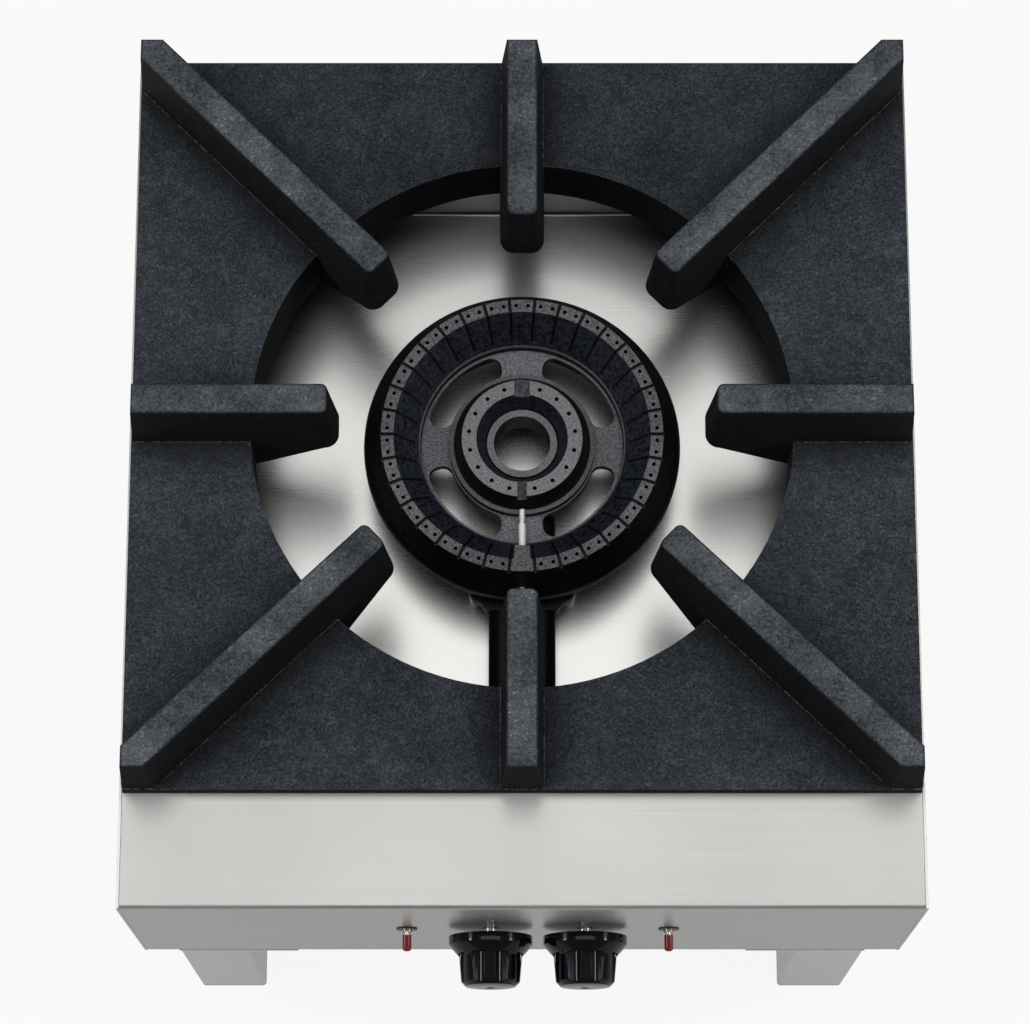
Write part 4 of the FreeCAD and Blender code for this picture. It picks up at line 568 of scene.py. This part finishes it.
def painted(name, base, rough):
    """Painted or blackened steel with fine speckle and worn edges."""
    paint = Paint(name)
    speck = paint.noise(500.0, detail=3.0)
    edge = paint.edges(0.35 * MM, 0.04, 0.4)
    tone = paint.mix(paint.rise(speck, 0.35, 0.65), shade(base, 0.75), shade(base, 1.25))
    tone = paint.mix(paint.times(edge, 0.35), tone, BARE_STEEL)
    paint.set(Base_Color=tone, Roughness=paint.scale(speck, 0.3, 0.7, rough, rough + 0.15))
    paint.bump(speck, 0.1, 0.1 * MM)
    return paint.done()


def both_sides(*parts):
    return [f"{part}_{side}" for part in parts for side in SIDES]


def coat(material, *names):
    for name in names:
        for slot in NODES[name].material_slots:
            slot.material = material


def begin(kind, name, **settings):
    """Add a primitive with nothing else selected."""
    if bpy.context.object and bpy.context.object.mode != "OBJECT":
        bpy.ops.object.mode_set(mode="OBJECT")
    bpy.ops.object.select_all(action="DESELECT")
    getattr(bpy.ops.mesh, f"primitive_{kind}_add")(**settings)
    piece = bpy.context.active_object
    piece.name = name
    piece.data.name = name
    return piece


def alone(piece):
    bpy.ops.object.select_all(action="DESELECT")
    piece.select_set(True)
    bpy.context.view_layer.objects.active = piece


def apply_place(piece):
    alone(piece)
    bpy.ops.object.transform_apply(location=True, rotation=True, scale=True)


def add_modifier(piece, kind, **settings):
    """Add a modifier and apply it."""
    alone(piece)
    modifier = piece.modifiers.new(kind.lower(), kind)
    for name, value in settings.items():
        setattr(modifier, name, value)
    bpy.ops.object.modifier_apply(modifier=modifier.name)


def smooth(piece):
    alone(piece)
    bpy.ops.object.shade_smooth_by_angle(angle=SMOOTH_ANGLE)


def draw_out(rings):
    """Extrude the selected face along -Z through rings of depth and radius, in edit mode."""
    depth, radius = rings[0]
    for next_depth, next_radius in rings[1:]:
        step = (0, 0, depth - next_depth)
        bpy.ops.mesh.extrude_region_move(TRANSFORM_OT_translate={"value": step})
        ratio = next_radius / radius
        if abs(ratio - 1) > 1e-6:
            bpy.ops.transform.resize(value=(ratio, ratio, 1), center_override=(0, 0, -next_depth))
        depth, radius = next_depth, next_radius


def turned_piece(name, rings, sides):
    """Solid of revolution on the -Z axis from rings of depth and radius."""
    start, radius = rings[0]
    piece = begin("circle", name, vertices=sides, radius=radius, fill_type="NGON",
                  location=(0, 0, 0))
    bpy.ops.object.mode_set(mode="EDIT")
    bpy.ops.mesh.select_all(action="SELECT")
    bpy.ops.transform.translate(value=(0, 0, -start))
    draw_out(rings)
    bpy.ops.mesh.select_all(action="SELECT")
    bpy.ops.mesh.normals_make_consistent(inside=False)
    bpy.ops.object.mode_set(mode="OBJECT")
    return piece


def bore_out(piece, name, radius, depth, sides, centre=(0, 0, 0)):
    """Cut a round hole along Z."""
    cutter = begin("cylinder", name, vertices=sides, radius=radius, depth=depth, location=centre)
    apply_place(cutter)
    add_modifier(piece, "BOOLEAN", operation="DIFFERENCE", object=cutter, solver="EXACT")
    bpy.data.objects.remove(cutter)


def copy_of(piece, name):
    """Copy of a piece with its own mesh."""
    copy = piece.copy()
    copy.data = piece.data.copy()
    copy.name = name
    copy.data.name = name
    bpy.context.collection.objects.link(copy)
    return copy


def dress(piece, body, slot, material, *nodes):
    piece.data.materials.clear()
    piece.data.materials.append(material)
    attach(piece, body)
    if nodes:
        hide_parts(*nodes)


class BURNER_OT_stage(bpy.types.Operator):
    """Set up the floor, the lights and the camera"""
    bl_idname = "burner.stage"
    bl_label = "Studio"

    def execute(self, context):
        scene = context.scene
        studio = scene.burner_studio
        colours = scene.burner_colours
        scene.view_settings.view_transform = "Standard"
        floor = begin("plane", "studio_floor", size=FLOOR_SIZE, location=(0, 0, FLOOR_LEVEL))
        apply_place(floor)
        floor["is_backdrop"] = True
        floor.data.materials.append(self.floor_finish(studio, colours))
        self.light_sky(scene, studio)
        self.hang_lights(scene, studio)
        self.place_camera(scene, studio)
        return {"FINISHED"}

    def floor_finish(self, studio, colours):
        """Pale floor that the camera and the metal see nearly white, with the shadow kept."""
        paint = Paint("studio_floor")
        camera, mirrored = paint.rays()
        dust = paint.rise(paint.noise(3.0, detail=2.0), 0.3, 0.7, 0.02)
        base = paint.mix(camera, colours.floor, colours.floor_seen)
        paint.set(Base_Color=paint.mix(dust, base, colours.floor), Roughness=0.9)
        distance = paint.reach((0.0, 0.0, 0.0))
        seen = paint.times(camera, paint.scale(distance, *FLOOR_FADE, studio.floor_glow, 1.0))
        share = paint.larger(seen, paint.times(mirrored, studio.floor_mirror))
        glow = paint.node("ShaderNodeEmission")
        paint.fill(glow, Strength=1.0)
        blend = paint.node("ShaderNodeMixShader")
        paint.feed(blend.inputs["Fac"], share)
        paint.feed(blend.inputs[1], paint.shader.outputs["BSDF"])
        paint.feed(blend.inputs[2], glow.outputs["Emission"])
        paint.fill(paint.tree.nodes["Material Output"], Surface=blend.outputs["Shader"])
        return paint.done()

    def light_sky(self, scene, studio):
        """Pale light from above that fades to a dim horizon; the camera sees plain white."""
        world = bpy.data.worlds.new("studio_sky")
        world.use_nodes = True
        sky = Nodes(world.node_tree)
        camera, mirrored = sky.rays()
        way = sky.node("ShaderNodeTexCoord").outputs["Generated"]
        rise = sky.vector("DOT_PRODUCT", way, SKY_AXIS)["Value"]
        light = sky.scale(rise, *SKY_FADE, studio.horizon, studio.zenith)
        least = sky.times(mirrored, studio.sky_mirror)
        strength = sky.larger(sky.larger(light, camera), least)
        sky.fill(sky.tree.nodes["Background"], Color=(1.0, 1.0, 1.0), Strength=strength)
        scene.world = world

    def hang_lights(self, scene, studio):
        """A broad softbox overhead and a narrow strip on each side."""
        self.hang(scene, "softbox", studio.softbox, SOFTBOX_SIZE, SOFTBOX_PLACE, 0.0)
        x, y, z = STRIP_PLACE
        for side, sign in zip(SIDES, (-1, 1)):
            self.hang(scene, f"strip_{side}", studio.strip, STRIP_SIZE, (sign * x, y, z),
                      sign * STRIP_TURN)

    def hang(self, scene, name, power, size, place, turn):
        """Hang a rectangular light that looks down, turned about Y."""
        lamp = bpy.data.lights.new(name, "AREA")
        lamp.shape = "RECTANGLE"
        lamp.size, lamp.size_y = size
        lamp.energy = power
        holder = bpy.data.objects.new(name, lamp)
        holder.location = place
        holder.rotation_euler = (0.0, turn, 0.0)
        scene.collection.objects.link(holder)

    def place_camera(self, scene, studio):
        camera = bpy.data.cameras.new("camera")
        camera.lens = studio.lens
        camera.sensor_width = SENSOR_WIDTH
        camera.shift_x = studio.shift
        holder = bpy.data.objects.new("camera", camera)
        holder.location = studio.camera
        holder.rotation_euler = (studio.tilt, 0.0, 0.0)
        scene.collection.objects.link(holder)
        scene.camera = holder


class BURNER_OT_casing(bpy.types.Operator):
    """Finish the casing sheets, the spill pan and the legs"""
    bl_idname = "burner.casing"
    bl_label = "Casing and pan"

    def execute(self, context):
        colours = context.scene.burner_colours
        across = brushed_sheet("stainless_across", colours.stainless, "X")
        lengthwise = brushed_sheet("stainless_lengthwise", colours.stainless, "Y")
        upright = brushed_sheet("stainless_upright", colours.stainless, "Z")
        # The pan's steep walls carry painted shade.
        tray = brushed_sheet("pan_sheet", colours.pan, "X", lines=(4, 2300), rough=0.27, pull=0.62,
                             relief=0.012, streaks=0.015, painted_wall_shade=0.3)
        coat(across, "front_panel", "back_panel")
        coat(lengthwise, *both_sides("side_panel"))
        coat(upright, *both_sides("leg_front", "leg_back"))
        coat(tray, "spill_pan", "injector_plate", *both_sides("pan_rail", "manifold_bracket"))
        coat(moulding("foot_plastic", colours.black, 0.55),
             *both_sides("foot_plug_front", "foot_plug_back"))
        return {"FINISHED"}


class BURNER_OT_castings(bpy.types.Operator):
    """Finish the grate, the burner casting and its two ring caps"""
    bl_idname = "burner.castings"
    bl_label = "Iron castings"

    def execute(self, context):
        colours = context.scene.burner_colours
        ring = context.scene.burner_ring
        coat(casting("grate_iron", colours.grate, colours.grate_wear_and_glint, GRATE_TOP), "grate")
        coat(outer_cap_iron(colours, ring), "outer_ring_cap")
        coat(inner_cap_iron(colours, ring), "inner_ring_cap")
        coat(burner_body_iron(colours, ring), "burner_body")
        return {"FINISHED"}


class BURNER_OT_knobs(bpy.types.Operator):
    """Model the two fluted knobs"""
    bl_idname = "burner.knobs"
    bl_label = "Knobs"

    def execute(self, context):
        black = context.scene.burner_colours.knob
        finish = moulding("knob_black", black, 0.04, ripple=0.03, gloss=0.25)
        pattern = self.model("knob_pattern", context.scene.burner_knob)
        for side in SIDES:
            knob = copy_of(pattern, f"fluted_knob_{side}")
            low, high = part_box(f"knob_{side}")
            knob.location = ((low.x + high.x) / 2, high.y, (low.z + high.z) / 2)
            knob.rotation_euler = (-math.pi / 2, 0, 0)
            apply_place(knob)
            dress(knob, f"{side}_knob", "knob_black", finish, f"knob_{side}")
        bpy.data.objects.remove(pattern)
        return {"FINISHED"}

    def model(self, name, sizes):
        """Knob on the -Z axis with its back at z = 0."""
        shoulder = sizes.knob_length - sizes.crown
        rings = [
            (0.0, sizes.skirt_radius),
            (sizes.skirt_edge, sizes.skirt_radius),
            (sizes.grip_foot, sizes.grip_radius),
            (shoulder - sizes.end_chamfer, sizes.grip_end),
            (shoulder, sizes.grip_end - sizes.end_chamfer),
            (shoulder + CROWN_RISE * sizes.crown, CROWN_REACH * sizes.grip_end),
            (sizes.knob_length, sizes.eye_radius),
            (sizes.knob_length - sizes.eye_depth, sizes.eye_radius),
        ]
        knob = turned_piece(name, rings, KNOB_SIDES)
        flute_end = sizes.knob_length + sizes.crown
        middle = -(sizes.flute_start + flute_end) / 2
        for k in range(sizes.flute_count):
            angle = 2 * math.pi * (k + 0.5) / sizes.flute_count
            x, y = (sizes.flute_centre * part for part in (math.cos(angle), math.sin(angle)))
            bore_out(knob, "flute", sizes.flute_radius, flute_end - sizes.flute_start, FLUTE_SIDES,
                     (x, y, middle))
        bore_out(knob, "stem_bore", sizes.stem_radius, 2 * sizes.stem_depth, STEM_SIDES)
        add_modifier(knob, "BEVEL", width=sizes.edge_round, segments=ROUNDING_STEPS,
                     limit_method="ANGLE", angle_limit=ROUNDING_ANGLE, harden_normals=False)
        smooth(knob)
        return knob


class BURNER_OT_sleeves(bpy.types.Operator):
    """Model the red sleeves of the levers"""
    bl_idname = "burner.sleeves"
    bl_label = "Lever sleeves"

    def execute(self, context):
        sizes = context.scene.burner_sleeve
        red = context.scene.burner_colours.red
        finish = moulding("sleeve_red", red, 0.28, ripple=0.06, lacquer=0.25)
        pattern = self.model("sleeve_pattern", sizes)
        for side in SIDES:
            sleeve = copy_of(pattern, f"red_sleeve_{side}")
            sleeve.location = JOINTS[f"{side}_lever_flip"]["pos_m"]
            sleeve.rotation_euler = (-math.pi / 2 + sizes.tilt, 0, 0)
            apply_place(sleeve)
            dress(sleeve, f"{side}_lever", "lever_red", finish, f"lever_sleeve_{side}")
        bpy.data.objects.remove(pattern)
        return {"FINISHED"}

    def model(self, name, sizes):
        """Sleeve on the -Z axis with the lever pivot at the origin."""
        shoulder = sizes.end - sizes.dome
        flat = sizes.radius - sizes.dome
        rings = [(sizes.start, sizes.radius)]
        for k in range(DOME_STEPS):
            angle = 0.5 * math.pi * k / DOME_STEPS
            rings.append((shoulder + sizes.dome * math.sin(angle),
                          flat + sizes.dome * math.cos(angle)))
        rings.append((sizes.end, flat))
        sleeve = turned_piece(name, rings, SLEEVE_SIDES)
        bore_out(sleeve, "lever_bore", sizes.bore, 2 * shoulder, LEVER_SIDES)
        smooth(sleeve)
        return sleeve


class BURNER_OT_gas_train(bpy.types.Operator):
    """Finish the valves, pipes, tubes and fasteners"""
    bl_idname = "burner.gas_train"
    bl_label = "Gas train"

    def execute(self, context):
        colours = context.scene.burner_colours
        coat(smooth_metal("brass", colours.brass, 0.24),
             "pilot_nozzle_outer", *both_sides("valve_body", "injector"))
        coat(smooth_metal("pale_brass", colours.pale_brass, 0.2), *both_sides("pilot_valve"))
        coat(smooth_metal("bright_steel", colours.bright, 0.16),
             "burner_posts", *both_sides("valve_stem", "pilot_lever"))
        coat(smooth_metal("satin_tube", colours.tube, 0.5),
             "pilot_tube_inner", "pilot_tube_outer", "pilot_nozzle_inner")
        coat(smooth_metal("zinc_plate", colours.zinc, 0.32), "leg_bolts", "burner_bolts",
             "bracket_screws", "plate_screws", "inlet_locknut", "manifold_plug")
        coat(smooth_metal("drawn_aluminium", colours.aluminium, 0.3), *both_sides("feed_tube"))
        coat(painted("pipe_paint", colours.pipe, 0.42), "manifold_pipe", "gas_inlet")
        coat(painted("blackened_steel", colours.black, 0.35), *both_sides("pilot_washer"))
        return {"FINISHED"}


OPERATORS = (
    BURNER_OT_stage,
    BURNER_OT_casing,
    BURNER_OT_castings,
    BURNER_OT_knobs,
    BURNER_OT_sleeves,
    BURNER_OT_gas_train,
)


GROUPS = {
    "burner_knob": KnobSizes,
    "burner_sleeve": SleeveSizes,
    "burner_ring": RingSizes,
    "burner_colours": Colours,
    "burner_studio": Studio,
}


class BURNER_PT_panel(bpy.types.Panel):
    """Sizes, colours and steps of the paella burner"""
    bl_idname = "BURNER_PT_panel"
    bl_label = "Paella burner"
    bl_space_type = "VIEW_3D"
    bl_region_type = "UI"
    bl_category = "Paella burner"

    def draw(self, context):
        for operator in OPERATORS:
            self.layout.operator(operator.bl_idname, text=operator.bl_label)
        for name, group in GROUPS.items():
            box = self.layout.box()
            for value in group.__annotations__:
                box.prop(getattr(context.scene, name), value)


def register():
    for name, group in GROUPS.items():
        bpy.utils.register_class(group)
        setattr(bpy.types.Scene, name, PointerProperty(type=group))
    for item in (*OPERATORS, BURNER_PT_panel):
        bpy.utils.register_class(item)


def unregister():
    for item in reversed((*OPERATORS, BURNER_PT_panel)):
        bpy.utils.unregister_class(item)
    for name, group in GROUPS.items():
        delattr(bpy.types.Scene, name)
        bpy.utils.unregister_class(group)


def main():
    register()
    bpy.ops.burner.stage()
    bpy.ops.burner.casing()
    bpy.ops.burner.castings()
    bpy.ops.burner.knobs()
    bpy.ops.burner.sleeves()
    bpy.ops.burner.gas_train()
    boxes = {"cad": CAD_BOX, "visual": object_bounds()}
    {name: [list(corner) for corner in box] for name, box in boxes.items()}


if __name__ == "__main__":
    main()
